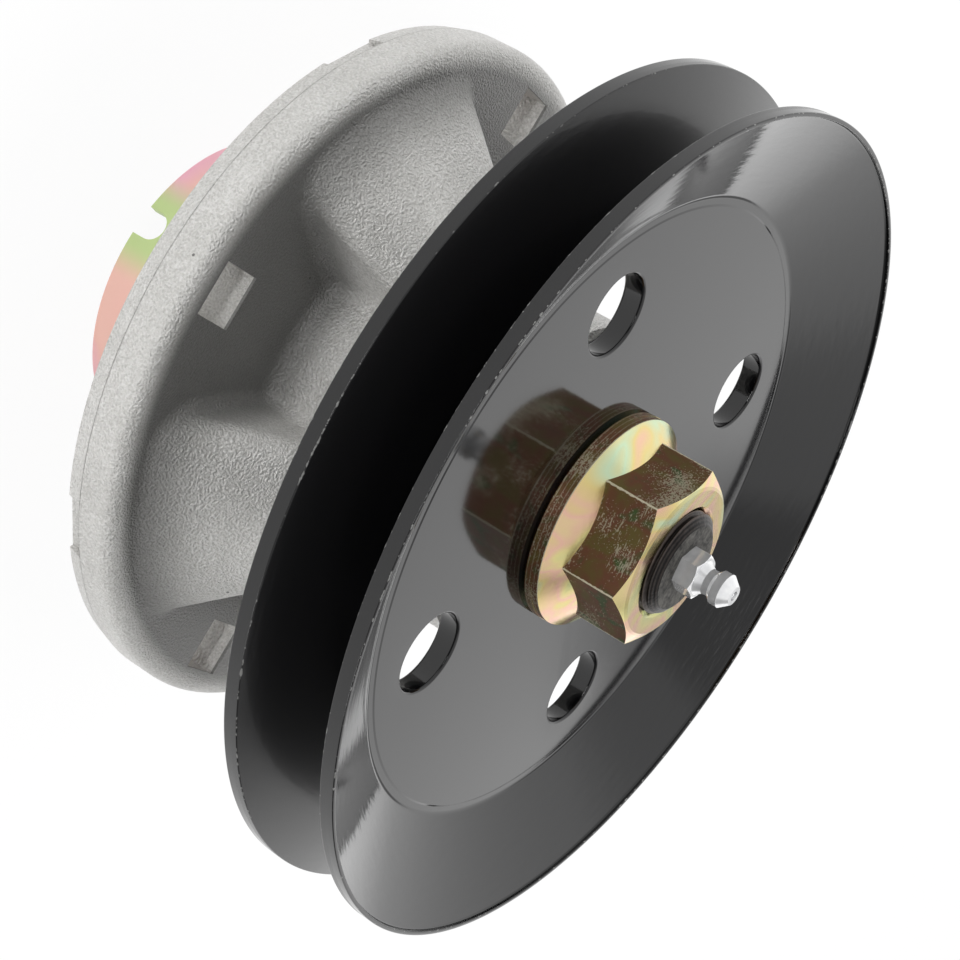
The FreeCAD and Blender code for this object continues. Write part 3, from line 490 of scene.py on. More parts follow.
def make_pulley_half(name, side):
    """One pressed sheet; side is 1 above the middle plane and -1 below it."""
    lip = PULLEY_RADIUS - LIP_WIDTH
    fold = GROOVE_ROOT - SHEET * (STRETCH - 1) / SLOPE - CREASE_DEPTH / SLOPE
    floor_height = SHEET - CREASE_DEPTH
    section = [
        (WEB_EDGE, 0), (GROOVE_ROOT, 0), (PULLEY_RADIUS, HALF_MOUTH), (PULLEY_RADIUS, HALF_WIDTH),
        (lip, HALF_WIDTH), (lip, (lip - GROOVE_ROOT) * SLOPE + SHEET * STRETCH),
        (fold, floor_height), (WEB_RIM + CREASE_WALL, floor_height), (WEB_RIM, SHEET),
        (WEB_EDGE, SHEET)]
    radii = {1: BEND + SHEET, 2: MOUTH_ROUND, 3: LIP_ROUND, 4: LIP_ROUND, 5: LIP_FOOT_ROUND,
             6: CREASE_BEND, 7: CREASE_ROUND, 8: CREASE_ROUND}
    points = [(radius, PULLEY_MIDDLE + side * height)
              for radius, height in rounded(section, radii, 6)]
    mesh = bmesh.new()
    sweep(mesh, points, SEGMENTS)

    near, far = PULLEY_MIDDLE + side * SHEET, PULLEY_MIDDLE
    near_edges = loop(mesh, circle_points((0, 0), WEB_EDGE, SEGMENTS), near)[1]
    far_edges = loop(mesh, circle_points((0, 0), WEB_EDGE, SEGMENTS), far)[1]
    levels = rolled_levels(near, far, ROLLED_EDGE)
    for index in range(HOLES):
        turn = HOLE_TURN + index * 2 * math.pi / HOLES
        centre = (HOLE_CIRCLE * math.cos(turn), HOLE_CIRCLE * math.sin(turn))
        ends = hole_wall(
            mesh, lambda growth: circle_points(centre, HOLE_RADIUS + growth, HOLE_SEGMENTS), levels)
        near_edges += ends[0]
        far_edges += ends[1]
    hub = hub_points(SHAFT_RADIUS, FLATS_HALF_WIDTH, HOLE_SEGMENTS)
    ends = hole_wall(mesh, lambda growth: hub, [(0, near), (0, far)])
    for edges in (near_edges + ends[0], far_edges + ends[1]):
        bmesh.ops.triangle_fill(mesh, edges=edges, use_beauty=True)
    return finish_mesh(mesh, name)


pulley_halves = {
    "pulley_upper_half": make_pulley_half("pulley_upper_sheet", 1),
    "pulley_lower_half": make_pulley_half("pulley_lower_sheet", -1),
}
for node, piece in pulley_halves.items():
    print(piece.name, "faces:", len(piece.data.polygons))

# %% [markdown]
# ## Screw threads with Geometry Nodes
#
# A thread follows a rule: at each height the groove has turned on by height over pitch. So a
# smooth turned rod is made first, with rings close together where the thread will be, and a
# Geometry Nodes tree then moves its vertices in to the groove, as a die does. The tool only
# takes what stands in its way, so the chamfer at the rod's end keeps its shape. A negative
# depth cuts outwards and makes the thread of a hole. A ridge value that runs from 0 to 1 is
# stretched a little past both ends and clamped, which leaves a narrow flat on crest and root.

# %% Geometry Nodes: thread cutter
RIDGE_STRETCH = 1.3
RIDGE_SHIFT = -0.15


def finish_tree(tree, start, end, geometry):
    """End a geometry tree as an export needs it: real geometry that has its material."""
    real = place(tree, "GeometryNodeRealizeInstances", {0: geometry})
    dressed = place(tree, "GeometryNodeSetMaterial", {
        "Geometry": real.outputs[0], "Material": start["Material"]})
    tree.links.new(dressed.outputs[0], end["Geometry"])
    return tree


def thread_tree():
    """Cuts a V thread round the Z axis between two heights."""
    tree, start, end = new_group("thread cutter", "GeometryNodeTree", [
        ("Geometry", "NodeSocketGeometry", None), ("Wall radius", "NodeSocketFloat", 0.01),
        ("Depth", "NodeSocketFloat", 0.001), ("Pitch", "NodeSocketFloat", 0.0015),
        ("From", "NodeSocketFloat", 0.0), ("To", "NodeSocketFloat", 0.1),
        ("Run out", "NodeSocketFloat", 0.001), ("Material", "NodeSocketMaterial", None),
    ], [("Geometry", "NodeSocketGeometry")])
    tree.is_modifier = True
    position = place(tree, "GeometryNodeInputPosition").outputs[0]
    x, y, z, _, radius = about_axis(tree, position)
    turns = math_node(tree, "DIVIDE", math_node(tree, "ARCTAN2", y, x), 2 * math.pi)
    climb = math_node(tree, "DIVIDE", z, start["Pitch"])
    phase = math_node(tree, "FRACT", subtract(tree, climb, turns))
    ridge = math_node(tree, "ABSOLUTE", scaled(tree, phase, 2.0, -1.0))
    groove = scaled(tree, ridge, RIDGE_STRETCH, RIDGE_SHIFT, clamp=True)
    above = subtract(tree, z, start["From"])
    below = subtract(tree, start["To"], z)
    inside = math_node(tree, "DIVIDE", math_node(tree, "MINIMUM", above, below), start["Run out"],
                       clamp=True)
    cut = multiply(tree, multiply(tree, groove, inside), start["Depth"])
    wall = subtract(tree, start["Wall radius"], cut)
    sign = math_node(tree, "SIGN", start["Depth"])
    kept = math_node(tree, "MINIMUM", multiply(tree, radius, sign), multiply(tree, wall, sign))
    share = math_node(tree, "DIVIDE", multiply(tree, kept, sign), radius)
    in_reach = place(tree, "FunctionNodeCompare", {0: inside, 1: 0.0}, operation="GREATER_THAN")
    moved = place(tree, "ShaderNodeCombineXYZ", {
        "X": multiply(tree, x, share), "Y": multiply(tree, y, share), "Z": z})
    cutter = place(tree, "GeometryNodeSetPosition", {
        "Geometry": start["Geometry"], "Selection": in_reach.outputs[0],
        "Position": moved.outputs[0]})
    return finish_tree(tree, start, end, cutter.outputs[0])


def run_tree(piece, tree, values):
    """Run a Geometry Nodes tree on a piece and keep the plain mesh that it makes."""
    modifier = piece.modifiers.new(tree.name, "NODES")
    modifier.node_group = tree
    for item in tree.interface.items_tree:
        if item.item_type == "SOCKET" and item.in_out == "INPUT" and item.name in values:
            modifier[item.identifier] = values[item.name]
    bpy.context.view_layer.update()
    evaluated = piece.evaluated_get(bpy.context.evaluated_depsgraph_get())
    data = bpy.data.meshes.new_from_object(evaluated)
    piece.modifiers.remove(modifier)
    data.name = piece.name
    piece.data = data


thread_cutter = thread_tree()
print("thread cutter nodes:", len(thread_cutter.nodes))

# %% [markdown]
# ## Spindle shaft
#
# The shaft is one turning: the blade boss below, the bearing journal, the seat of the pulley and
# the threaded end. The blade's threaded hole and the grease drilling open into its two ends. The
# pulley's seat has two flats. They are made by holding the vertices of its rings between two
# planes, at the size of the hole in the pulley, so no gap shows there.

# %% Shaft sizes
_, shaft_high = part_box("spindle_shaft")
nut_low, nut_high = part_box("flange_nut")
BOSS_RADIUS = shaft_high.x
BOSS_HEIGHT = 17.8 * MM
BOSS_CHAMFER = 1.0 * MM
JOURNAL_RADIUS = 12.5 * MM
SEAT_LOW = PULLEY_MIDDLE - SHEET - 1.5 * MM
SEAT_HIGH = PULLEY_MIDDLE + SHEET - 0.6 * MM
THREAD_RADIUS = 9.5 * MM
THREAD_PITCH = 1.27 * MM
THREAD_DEPTH = 0.75 * MM
THREAD_START = nut_low.z - 1.0 * MM
THREAD_PAST_END = 1.0 * MM
THREAD_STEP = 0.11 * MM
FACE_STEP = 0.25 * MM
END_RISE = 1.3 * MM
END_FACE = 7.7 * MM
BLADE_HOLE_RADIUS = 7.34 * MM
BLADE_HOLE_DEPTH = 38.0 * MM
BLADE_HOLE_CHAMFER = 1.2 * MM
BLADE_THREAD_STEP = 0.18 * MM
BLADE_THREAD_END = BLADE_HOLE_DEPTH - 2.0 * MM
BLADE_PITCH = 1.411 * MM
BLADE_DEPTH = 0.6 * MM
DRILL_POINT = BLADE_HOLE_RADIUS * math.tan(math.radians(30))
GREASE_RADIUS = 1.6 * MM
GREASE_BOTTOM = 51.3 * MM
FITTING_RADIUS = 3.1 * MM
FITTING_DEPTH = 5.5 * MM
SHAFT_SEGMENTS = 160
HAIR = 0.01 * MM
shaft_end = shaft_high.z
print("shaft length", round(shaft_end / MM, 2), "mm, pitch", round(THREAD_PITCH / MM, 2), "mm")

# %% Spindle shaft
def make_shaft():
    """Half section from the drill point of the blade hole round to the grease drilling."""
    port = shaft_end - FITTING_DEPTH
    hole_mouth = (BLADE_HOLE_RADIUS, BLADE_HOLE_CHAMFER)
    chamfer_start = (THREAD_RADIUS, shaft_end - END_RISE)
    section = [(0, BLADE_HOLE_DEPTH + DRILL_POINT)]
    section += divided((BLADE_HOLE_RADIUS, BLADE_HOLE_DEPTH), hole_mouth, BLADE_THREAD_STEP)
    section += [
        hole_mouth, (BLADE_HOLE_RADIUS + BLADE_HOLE_CHAMFER, 0), (BOSS_RADIUS - BOSS_CHAMFER, 0),
        (BOSS_RADIUS, BOSS_CHAMFER), (BOSS_RADIUS, BOSS_HEIGHT), (JOURNAL_RADIUS, BOSS_HEIGHT),
        (JOURNAL_RADIUS, SEAT_HIGH), (THREAD_RADIUS, SEAT_HIGH)]
    section += divided((THREAD_RADIUS, THREAD_START), chamfer_start, THREAD_STEP)
    section += divided(chamfer_start, (END_FACE, shaft_end), THREAD_STEP)
    section += divided((END_FACE, shaft_end), (FITTING_RADIUS, shaft_end), FACE_STEP)
    section += [(FITTING_RADIUS, shaft_end), (FITTING_RADIUS, port), (GREASE_RADIUS, port),
                (GREASE_RADIUS, GREASE_BOTTOM), (0, GREASE_BOTTOM)]
    mesh = bmesh.new()
    sweep(mesh, section, SHAFT_SEGMENTS)
    for corner in mesh.verts:
        at_seat = SEAT_LOW < corner.co.z < SEAT_HIGH + HAIR
        if at_seat and corner.co.xy.length > THREAD_RADIUS + HAIR:
            corner.co.x = max(-FLATS_HALF_WIDTH, min(FLATS_HALF_WIDTH, corner.co.x))
    return finish_mesh(mesh, "shaft_turned", sharp_degrees=30)


shaft = make_shaft()
run_tree(shaft, thread_cutter, {
    "Wall radius": THREAD_RADIUS, "Depth": THREAD_DEPTH, "Pitch": THREAD_PITCH,
    "From": THREAD_START, "To": shaft_end + THREAD_PAST_END, "Run out": THREAD_PITCH})
run_tree(shaft, thread_cutter, {
    "Wall radius": BLADE_HOLE_RADIUS, "Depth": -BLADE_DEPTH, "Pitch": BLADE_PITCH,
    "From": -THREAD_PAST_END, "To": BLADE_THREAD_END, "Run out": BLADE_PITCH})
print(shaft.name, "faces:", len(shaft.data.polygons))

# %% [markdown]
# ## Spring of the grease fitting
#
# The coil is hidden in the fitting, but it is part of the object. A spiral curve swept with a
# round wire is the whole rule of a coil spring, so a small tree makes it from four sizes.

# %% Geometry Nodes: coil spring
def coil_tree():
    """A coil of round wire that climbs the Z axis from a bottom height."""
    tree, start, end = new_group("coil spring", "GeometryNodeTree", [
        ("Geometry", "NodeSocketGeometry", None), ("Turns", "NodeSocketFloat", 6.0),
        ("Coil radius", "NodeSocketFloat", 0.001), ("Wire radius", "NodeSocketFloat", 0.0002),
        ("Length", "NodeSocketFloat", 0.005), ("Bottom", "NodeSocketFloat", 0.0),
        ("Material", "NodeSocketMaterial", None),
    ], [("Geometry", "NodeSocketGeometry")])
    tree.is_modifier = True
    climb = scaled(tree, start["Wire radius"], -2.0, start["Length"])
    spiral = place(tree, "GeometryNodeCurveSpiral", {
        "Resolution": 24, "Rotations": start["Turns"], "Start Radius": start["Coil radius"],
        "End Radius": start["Coil radius"], "Height": climb})
    wire = place(tree, "GeometryNodeCurvePrimitiveCircle", {
        "Resolution": 10, "Radius": start["Wire radius"]})
    swept = place(tree, "GeometryNodeCurveToMesh", {
        "Curve": spiral.outputs[0], "Profile Curve": wire.outputs[0], "Fill Caps": True})
    lift = place(tree, "ShaderNodeCombineXYZ", {
        "Z": math_node(tree, "ADD", start["Bottom"], start["Wire radius"])})
    moved = place(tree, "GeometryNodeTransform", {
        "Geometry": swept.outputs[0], "Translation": lift.outputs[0]})
    return finish_tree(tree, start, end, moved.outputs[0])


spring_low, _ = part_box("grease_fitting_spring")
SPRING_WIRE_RADIUS = 0.15 * MM
SPRING_RADIUS = 0.95 * MM
SPRING_LENGTH = 5.0 * MM
SPRING_TURNS = 6
spring = bpy.data.objects.new("fitting_coil", bpy.data.meshes.new("fitting_coil"))
bpy.context.scene.collection.objects.link(spring)
run_tree(spring, coil_tree(), {
    "Turns": SPRING_TURNS, "Coil radius": SPRING_RADIUS, "Wire radius": SPRING_WIRE_RADIUS,
    "Length": SPRING_LENGTH, "Bottom": spring_low.z})
spring.data.shade_smooth()
print(spring.name, "faces:", len(spring.data.polygons))

# %% [markdown]
# ## Effects that several finishes share
#
# Metal is told apart less by its colour than by its surface. Five groups give what the finishes
# below have in common: the grain of a blasted or machined surface, the cloudy bloom of passivated
# zinc, a mask for paint knocked off an outer edge, which also draws painted highlight lines along
# it, the slight waves of a formed face and the scratches of handling.

# %% Shader groups
CHIP_PATCH_SCALE = 40.0
CHIP_SHARPNESS = 20.0
SCRATCH_SHARPNESS = 16.0
SCRATCH_LAYERS = (((0.5, 0.3, 0.9), (1.0, 0.05, 1.0)), ((1.2, 0.8, 0.2), (0.06, 1.0, 1.0)))


def grain_group():
    """Fine grain with larger clouds: a height for the bump and a value for the colour."""
    tree, start, end = new_group("surface grain", "ShaderNodeTree", [
        ("Vector", "NodeSocketVector", None), ("Grain scale", "NodeSocketFloat", 2000.0),
        ("Cloud scale", "NodeSocketFloat", 60.0), ("Cloud share", "NodeSocketFloat", 0.3),
    ], [("Height", "NodeSocketFloat"), ("Tone", "NodeSocketFloat")])
    fine = noise(tree, start["Vector"], start["Grain scale"])
    cloud = noise(tree, start["Vector"], start["Cloud scale"], 3.0)
    tone = place(tree, "ShaderNodeMix", {0: start["Cloud share"], 2: fine, 3: cloud}).outputs[0]
    tree.links.new(fine, end["Height"])
    tree.links.new(tone, end["Tone"])
    return tree


def bloom_group():
    """Slow swirling bands from 0 to 1, as a thin passive film makes them."""
    tree, start, end = new_group("plating bloom", "ShaderNodeTree", [
        ("Vector", "NodeSocketVector", None), ("Scale", "NodeSocketFloat", 60.0),
        ("Warp", "NodeSocketFloat", 0.6), ("Bands", "NodeSocketFloat", 1.5),
        ("Shift", "NodeSocketFloat", 0.0),
    ], [("Band", "NodeSocketFloat")])
    swirl = noise(tree, start["Vector"], start["Scale"], 2.0, start["Warp"])
    spread = scaled(tree, swirl, start["Bands"], start["Shift"])
    tree.links.new(math_node(tree, "PINGPONG", spread, 1.0), end["Band"])
    return tree


def chip_and_highlight_group():
    """A mask of chips along two edge circles alike above and below a middle plane; with a large
    amount it makes ragged lines of painted highlight.
    """
    tree, start, end = new_group("edge chips", "ShaderNodeTree", [
        ("Vector", "NodeSocketVector", None), ("Radius", "NodeSocketFloat", 0.07),
        ("Middle", "NodeSocketFloat", 0.0), ("Height", "NodeSocketFloat", 0.01),
        ("Reach", "NodeSocketFloat", 0.0005), ("Scale", "NodeSocketFloat", 600.0),
        ("Amount", "NodeSocketFloat", 0.4),
    ], [("Chips", "NodeSocketFloat")])
    _, _, z, _, radius = about_axis(tree, start["Vector"])
    across = subtract(tree, radius, start["Radius"])
    above = math_node(tree, "ABSOLUTE", subtract(tree, z, start["Middle"]))
    along = subtract(tree, above, start["Height"])
    offset = place(tree, "ShaderNodeCombineXYZ", {"X": across, "Y": along}).outputs[0]
    distance = place(tree, "ShaderNodeVectorMath", {0: offset}, operation="LENGTH").outputs["Value"]
    near = math_node(tree, "SUBTRACT", 1.0, math_node(tree, "DIVIDE", distance, start["Reach"]),
                     clamp=True)
    fine = noise(tree, start["Vector"], start["Scale"], 3.0)
    broad = noise(tree, start["Vector"], CHIP_PATCH_SCALE, 1.0)
    worn = scaled(tree, broad, 0.5, fine)
    threshold = subtract(tree, 1.0, multiply(tree, near, start["Amount"]))
    over = subtract(tree, worn, threshold)
    sharp = math_node(tree, "MULTIPLY", over, CHIP_SHARPNESS, clamp=True)
    reached = math_node(tree, "GREATER_THAN", near, 0.02)
    tree.links.new(multiply(tree, sharp, reached), end["Chips"])
    return tree


def ripple_group():
    """Slight waves of a pressed or turned face: many round the axis, few across it."""
    tree, start, end = new_group("forming ripple", "ShaderNodeTree", [
        ("Vector", "NodeSocketVector", None), ("Waves round", "NodeSocketFloat", 50.0),
        ("Waves across", "NodeSocketFloat", 150.0),
    ], [("Height", "NodeSocketFloat"), ("Radius", "NodeSocketFloat")])
    *_, flat, radius = about_axis(tree, start["Vector"])
    unit = place(tree, "ShaderNodeVectorMath", {0: flat}, operation="NORMALIZE").outputs[0]
    round_it = place(tree, "ShaderNodeVectorMath", {0: unit, "Scale": start["Waves round"]},
                     operation="SCALE").outputs[0]
    across = place(tree, "ShaderNodeCombineXYZ", {
        "Z": multiply(tree, radius, start["Waves across"])}).outputs[0]
    spot = place(tree, "ShaderNodeVectorMath", {0: round_it, 1: across}, operation="ADD").outputs[0]
    tree.links.new(noise(tree, spot, 1.0), end["Height"])
    tree.links.new(radius, end["Radius"])
    return tree


def scratch_group():
    """Short light scratches that lie in two directions."""
    tree, start, end = new_group("handling scratches", "ShaderNodeTree", [
        ("Vector", "NodeSocketVector", None), ("Fineness", "NodeSocketFloat", 2600.0),
        ("Amount", "NodeSocketFloat", 0.3),
    ], [("Scratches", "NodeSocketFloat")])
    threshold = scaled(tree, start["Amount"], -0.3, 0.78)
    layers = []
    for turn, stretch in SCRATCH_LAYERS:
        turned = place(tree, "ShaderNodeMapping", {
            "Vector": start["Vector"], "Rotation": turn, "Scale": stretch}).outputs[0]
        over = subtract(tree, noise(tree, turned, start["Fineness"], 1.0), threshold)
        layers.append(math_node(tree, "MULTIPLY", over, SCRATCH_SHARPNESS, clamp=True))
    tree.links.new(math_node(tree, "MAXIMUM", *layers), end["Scratches"])
    return tree


GRAIN, BLOOM, EDGE_CHIPS_AND_HIGHLIGHTS = grain_group(), bloom_group(), chip_and_highlight_group()
RIPPLE, SCRATCHES = ripple_group(), scratch_group()
print("shader groups:", [group.name for group in (GRAIN, BLOOM, EDGE_CHIPS_AND_HIGHLIGHTS, RIPPLE, SCRATCHES)])

# %% [markdown]
# ## Cast and blasted aluminium
#
# The housing is a grey casting that was blasted with beads: evenly rough, with bright and dark
# specks under a millimetre wide and a few pin holes. The pockets' floors and the lowest part of
# their walls have painted shade in their colour, and the rim is painted a little darker as shade
# too. Where the two halves of the mould met, a fine line runs round the rim.

# %% Cast housing finish
_, housing_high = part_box("housing")
SHADE_COLOUR = (0.10, 0.10, 0.095, 1)
MARK_COLOUR = (0.10, 0.10, 0.09, 1)
FLANGE_FLOOR = 39.2 * MM
SHADE_HEIGHT = 9.0 * MM
POCKET_SHADE = 0.74
RIM_INSIDE = housing_high.x - 2.0 * MM
RIM_BLEND = 3.0 * MM
RIM_SHADE = 0.13
PARTING_HEIGHT = 31.9 * MM
PARTING_WIDTH = 0.10 * MM
PITS_PER_METRE = 140.0
PIT_SIZE = 0.035
PIT_SHARE = 0.45

cast_metal, tree, shader, coordinates = new_material("cast_aluminium", Metallic=0.3, Roughness=0.38)
grain = use_group(tree, GRAIN, {
    "Vector": coordinates, "Grain scale": 2400.0, "Cloud scale": 110.0, "Cloud share": 0.25})
colour = ramp(tree, grain["Tone"], [
    (0.34, (0.60, 0.59, 0.565)), (0.50, (0.73, 0.72, 0.695)), (0.64, (0.86, 0.85, 0.83))])
_, _, height, _, radius = about_axis(tree, coordinates)
# Painted shade: the pockets' floors and the lowest part of their walls are darkened towards
# SHADE_COLOUR, and the rim is painted a little darker too.
low_down = smooth_range(tree, height, FLANGE_FLOOR + SHADE_HEIGHT, FLANGE_FLOOR)
inside = smooth_range(tree, radius, RIM_INSIDE, RIM_INSIDE - RIM_BLEND)
above_floor = math_node(tree, "GREATER_THAN", height, FLANGE_FLOOR - 0.5 * MM)
pocket_shade = multiply(tree, multiply(tree, low_down, inside), above_floor)
shade = multiply(tree, pocket_shade, POCKET_SHADE)
painted_shade = scaled(tree, subtract(tree, 1.0, inside), RIM_SHADE, shade)
colour = mix_colours(tree, painted_shade, colour, SHADE_COLOUR)
away = math_node(tree, "ABSOLUTE", subtract(tree, height, PARTING_HEIGHT))
line = math_node(tree, "SUBTRACT", 1.0, math_node(tree, "DIVIDE", away, PARTING_WIDTH), clamp=True)
cells = place(tree, "ShaderNodeTexVoronoi", {
    "Vector": coordinates, "Scale": PITS_PER_METRE}).outputs
cell_value = place(tree, "ShaderNodeSeparateColor", {0: cells["Color"]}).outputs["Red"]
chosen = math_node(tree, "GREATER_THAN", cell_value, 1 - PIT_SHARE)
pit = multiply(tree, math_node(tree, "LESS_THAN", cells["Distance"], PIT_SIZE), chosen)
marks = math_node(tree, "MAXIMUM", multiply(tree, line, 0.42), multiply(tree, pit, 0.85))
tree.links.new(mix_colours(tree, marks, colour, MARK_COLOUR), shader.inputs["Base Color"])
add_bump(tree, shader, subtract(tree, grain["Height"], marks), 0.45 * MM, 1.0)
print(cast_metal.name, "parting line at", round(PARTING_HEIGHT / MM, 1), "mm")

# %% [markdown]
# ## Gloss black paint
#
# The pulley is dipped or powder coated in gloss black. Its colour is almost nothing; what shows is
# the mirror image of the room, slightly uneven because paint never lies quite flat. The press
# left waves on the sloping flange, which make its reflections jagged. The thin lips are chipped
# down to grey steel, and their light edge lines are partly chipped paint and partly painted
# highlight. Paint in the groove is duller.

# %% Gloss black finish
PAINT_COLOUR = (0.0022, 0.0022, 0.0027, 1)
CHIP_AND_HIGHLIGHT_COLOUR = (0.16, 0.16, 0.155, 1)
CHIP_AND_HIGHLIGHT_REACH = 0.26 * MM
LIP_EDGES = (
    (PULLEY_RADIUS - LIP_WIDTH, HALF_WIDTH, 0.30),
    (PULLEY_RADIUS, HALF_WIDTH, 0.27),
    (PULLEY_RADIUS, HALF_MOUTH, 0.22))
WEB_WAVES = 0.5
FLANGE_WAVES = 8.5
PAINT_ROUGHNESS = 0.085
GROOVE_DULLNESS = 0.18

black_paint, tree, shader, coordinates = new_material(
    "gloss_black_paint", IOR=1.5, Coat_Weight=0.2, Coat_Roughness=0.06)
# Painted highlight: at these amounts the edge mask draws ragged light lines along the lip edges,
# partly chipped paint and partly painted highlight.
masks = []
for edge_radius, edge_height, amount in LIP_EDGES:
    masks.append(use_group(tree, EDGE_CHIPS_AND_HIGHLIGHTS, {
        "Vector": coordinates, "Radius": edge_radius, "Middle": PULLEY_MIDDLE,
        "Height": edge_height, "Reach": CHIP_AND_HIGHLIGHT_REACH, "Scale": 900.0, "Amount": amount})["Chips"])
chips_and_highlights = math_node(tree, "MAXIMUM", masks[0], math_node(tree, "MAXIMUM", *masks[1:]))
colour = mix_colours(tree, chips_and_highlights, PAINT_COLOUR, CHIP_AND_HIGHLIGHT_COLOUR)
tree.links.new(colour, shader.inputs["Base Color"])
peel = use_group(tree, GRAIN, {
    "Vector": coordinates, "Grain scale": 420.0, "Cloud scale": 60.0, "Cloud share": 0.5})
ripple = use_group(tree, RIPPLE, {
    "Vector": coordinates, "Waves round": 14.0, "Waves across": 900.0})
on_flange = place(tree, "ShaderNodeMapRange", {
    "Value": ripple["Radius"], "From Min": WEB_RIM, "From Max": GROOVE_ROOT + 2 * MM,
    "To Min": WEB_WAVES, "To Max": FLANGE_WAVES}).outputs[0]
_, _, height = place(tree, "ShaderNodeSeparateXYZ", {0: coordinates}).outputs
sheet_line = scaled(tree, ripple["Radius"], SLOPE, SHEET * STRETCH / 2 - GROOVE_ROOT * SLOPE)
above = math_node(tree, "ABSOLUTE", subtract(tree, height, PULLEY_MIDDLE))
in_groove = math_node(tree, "LESS_THAN", above, sheet_line)
rough = scaled(tree, in_groove, GROOVE_DULLNESS, PAINT_ROUGHNESS)
tree.links.new(scaled(tree, chips_and_highlights, 0.3, rough), shader.inputs["Roughness"])
relief = scaled(tree, chips_and_highlights, -8.0, peel["Tone"])
relief = scaled(tree, ripple["Height"], on_flange, relief)
add_bump(tree, shader, relief, 0.006 * MM, 0.5)
print(black_paint.name, "chips round the lips at radius", round(PULLEY_RADIUS / MM, 1), "mm")

# %% [markdown]
# ## Yellow zinc
#
# The nut, its washer and the cup are zinc plated and dipped in a yellow passivate. The film is so
# thin that its colour drifts between gold, green and pink. A slow banded pattern gives the drift,
# and the cup has another ramp of colours than the nut and washer. The nut's flats are darker, with
# scratches from a wrench. Light lines at the hex corners and the flange edge are partly worn zinc
# and partly painted highlight, and thin light rings round the sides of the flange and the washer
# are painted highlight.

# %% Plated finishes
def plated(name, stops, scale, bands, shift, metallic, roughness):
    """Plating whose colour drifts; returns what a special finish adds to."""
    material, tree, shader, coordinates = new_material(name, Metallic=metallic)
    band = use_group(tree, BLOOM, {
        "Vector": coordinates, "Scale": scale, "Warp": 0.9, "Bands": bands, "Shift": shift})["Band"]
    colour = ramp(tree, band, stops)
    tree.links.new(colour, shader.inputs["Base Color"])
    grain = use_group(tree, GRAIN, {
        "Vector": coordinates, "Grain scale": 1800.0, "Cloud scale": 220.0, "Cloud share": 0.6})
    rough = scaled(tree, grain["Tone"], 0.2, roughness - 0.1)
    tree.links.new(rough, shader.inputs["Roughness"])
    ripple = use_group(tree, RIPPLE, {
        "Vector": coordinates, "Waves round": 9.0, "Waves across": 900.0})
    relief = scaled(tree, ripple["Height"], 2.0, grain["Tone"])
    add_bump(tree, shader, relief, 0.02 * MM, 0.5)
    return material, tree, shader, coordinates, colour, rough


GOLD = [(0.0, (0.74, 0.62, 0.26)), (0.22, (0.56, 0.64, 0.32)), (0.42, (0.76, 0.66, 0.30)),
        (0.62, (0.80, 0.50, 0.38)), (0.80, (0.74, 0.60, 0.26)), (1.0, (0.56, 0.70, 0.48))]
ROSE = [(0.0, (0.97, 0.62, 0.50)), (0.35, (0.96, 0.56, 0.60)), (0.60, (0.98, 0.64, 0.54)),
        (0.85, (0.96, 0.58, 0.50)), (1.0, (0.95, 0.52, 0.62))]
print("plating colours: gold", len(GOLD), "rose", len(ROSE))

# %% Plated nut and washer
FLATS = [(0.0, (0.20, 0.16, 0.05)), (0.3, (0.10, 0.17, 0.06)), (0.6, (0.26, 0.11, 0.065)),
         (1.0, (0.22, 0.17, 0.055))]
BARE_ZINC_AND_HIGHLIGHT = (0.72, 0.66, 0.48, 1)
NUT_TOP_COLOUR = (0.05, 0.06, 0.02, 1)
NUT_TOP_DULLNESS = 0.24
NUT_TOP_FROM = nut_high.z - 0.3 * MM
NUT_CORNER = 16.17 * MM
NUT_FLANGE_EDGE = nut_low.z + 1.3 * MM
RUBBED_AND_HIGHLIGHT_REACH = 0.22 * MM
RING_SPACING = 0.8 * MM
RINGS_FROM = NUT_CORNER + 0.6 * MM

gold_zinc, tree, shader, coordinates, colour, rough = plated(
    "yellow_zinc", GOLD, scale=65.0, bands=2.2, shift=-0.45, metallic=1.0, roughness=0.22)
facing = place(tree, "ShaderNodeTexCoord").outputs["Normal"]
lift = math_node(tree, "ABSOLUTE", place(tree, "ShaderNodeSeparateXYZ", {0: facing}).outputs["Z"])
upright = math_node(tree, "LESS_THAN", lift, 0.2)
smudge = use_group(tree, BLOOM, {
    "Vector": coordinates, "Scale": 260.0, "Warp": 0.3, "Bands": 2.0, "Shift": 0.3})["Band"]
handled = noise(tree, coordinates, 130.0, 1.0)
scratches = use_group(tree, SCRATCHES, {
    "Vector": coordinates, "Fineness": 3600.0,
    "Amount": scaled(tree, handled, 2.2, -0.62, clamp=True)})["Scratches"]
_, _, height, _, radius = about_axis(tree, coordinates)
# Painted highlight: light lines at the hex corners and the flange edge are partly worn zinc and
# partly painted highlight, and the thin rings on the flange and washer sides are painted highlight.
# The corner and edge lines are also made less metallic so that their light colour shows.
ragged = noise(tree, coordinates, 1500.0)
to_corner = math_node(tree, "ABSOLUTE", subtract(tree, NUT_CORNER, radius))
to_edge = math_node(tree, "ABSOLUTE", subtract(tree, height, NUT_FLANGE_EDGE))
nearest = math_node(tree, "MINIMUM", to_corner, to_edge)
reach = multiply(tree, ragged, RUBBED_AND_HIGHLIGHT_REACH)
rubbed_and_highlight = multiply(tree, math_node(tree, "LESS_THAN", nearest, reach), upright)
ring = math_node(tree, "FRACT", math_node(tree, "DIVIDE", height, RING_SPACING))
ring = math_node(tree, "LESS_THAN", ring, scaled(tree, ragged, 0.5, -0.12))
on_side = math_node(tree, "GREATER_THAN", radius, RINGS_FROM)
ring = multiply(tree, ring, on_side)
bare_and_highlight = math_node(tree, "MAXIMUM", multiply(tree, scratches, 0.8), rubbed_and_highlight)
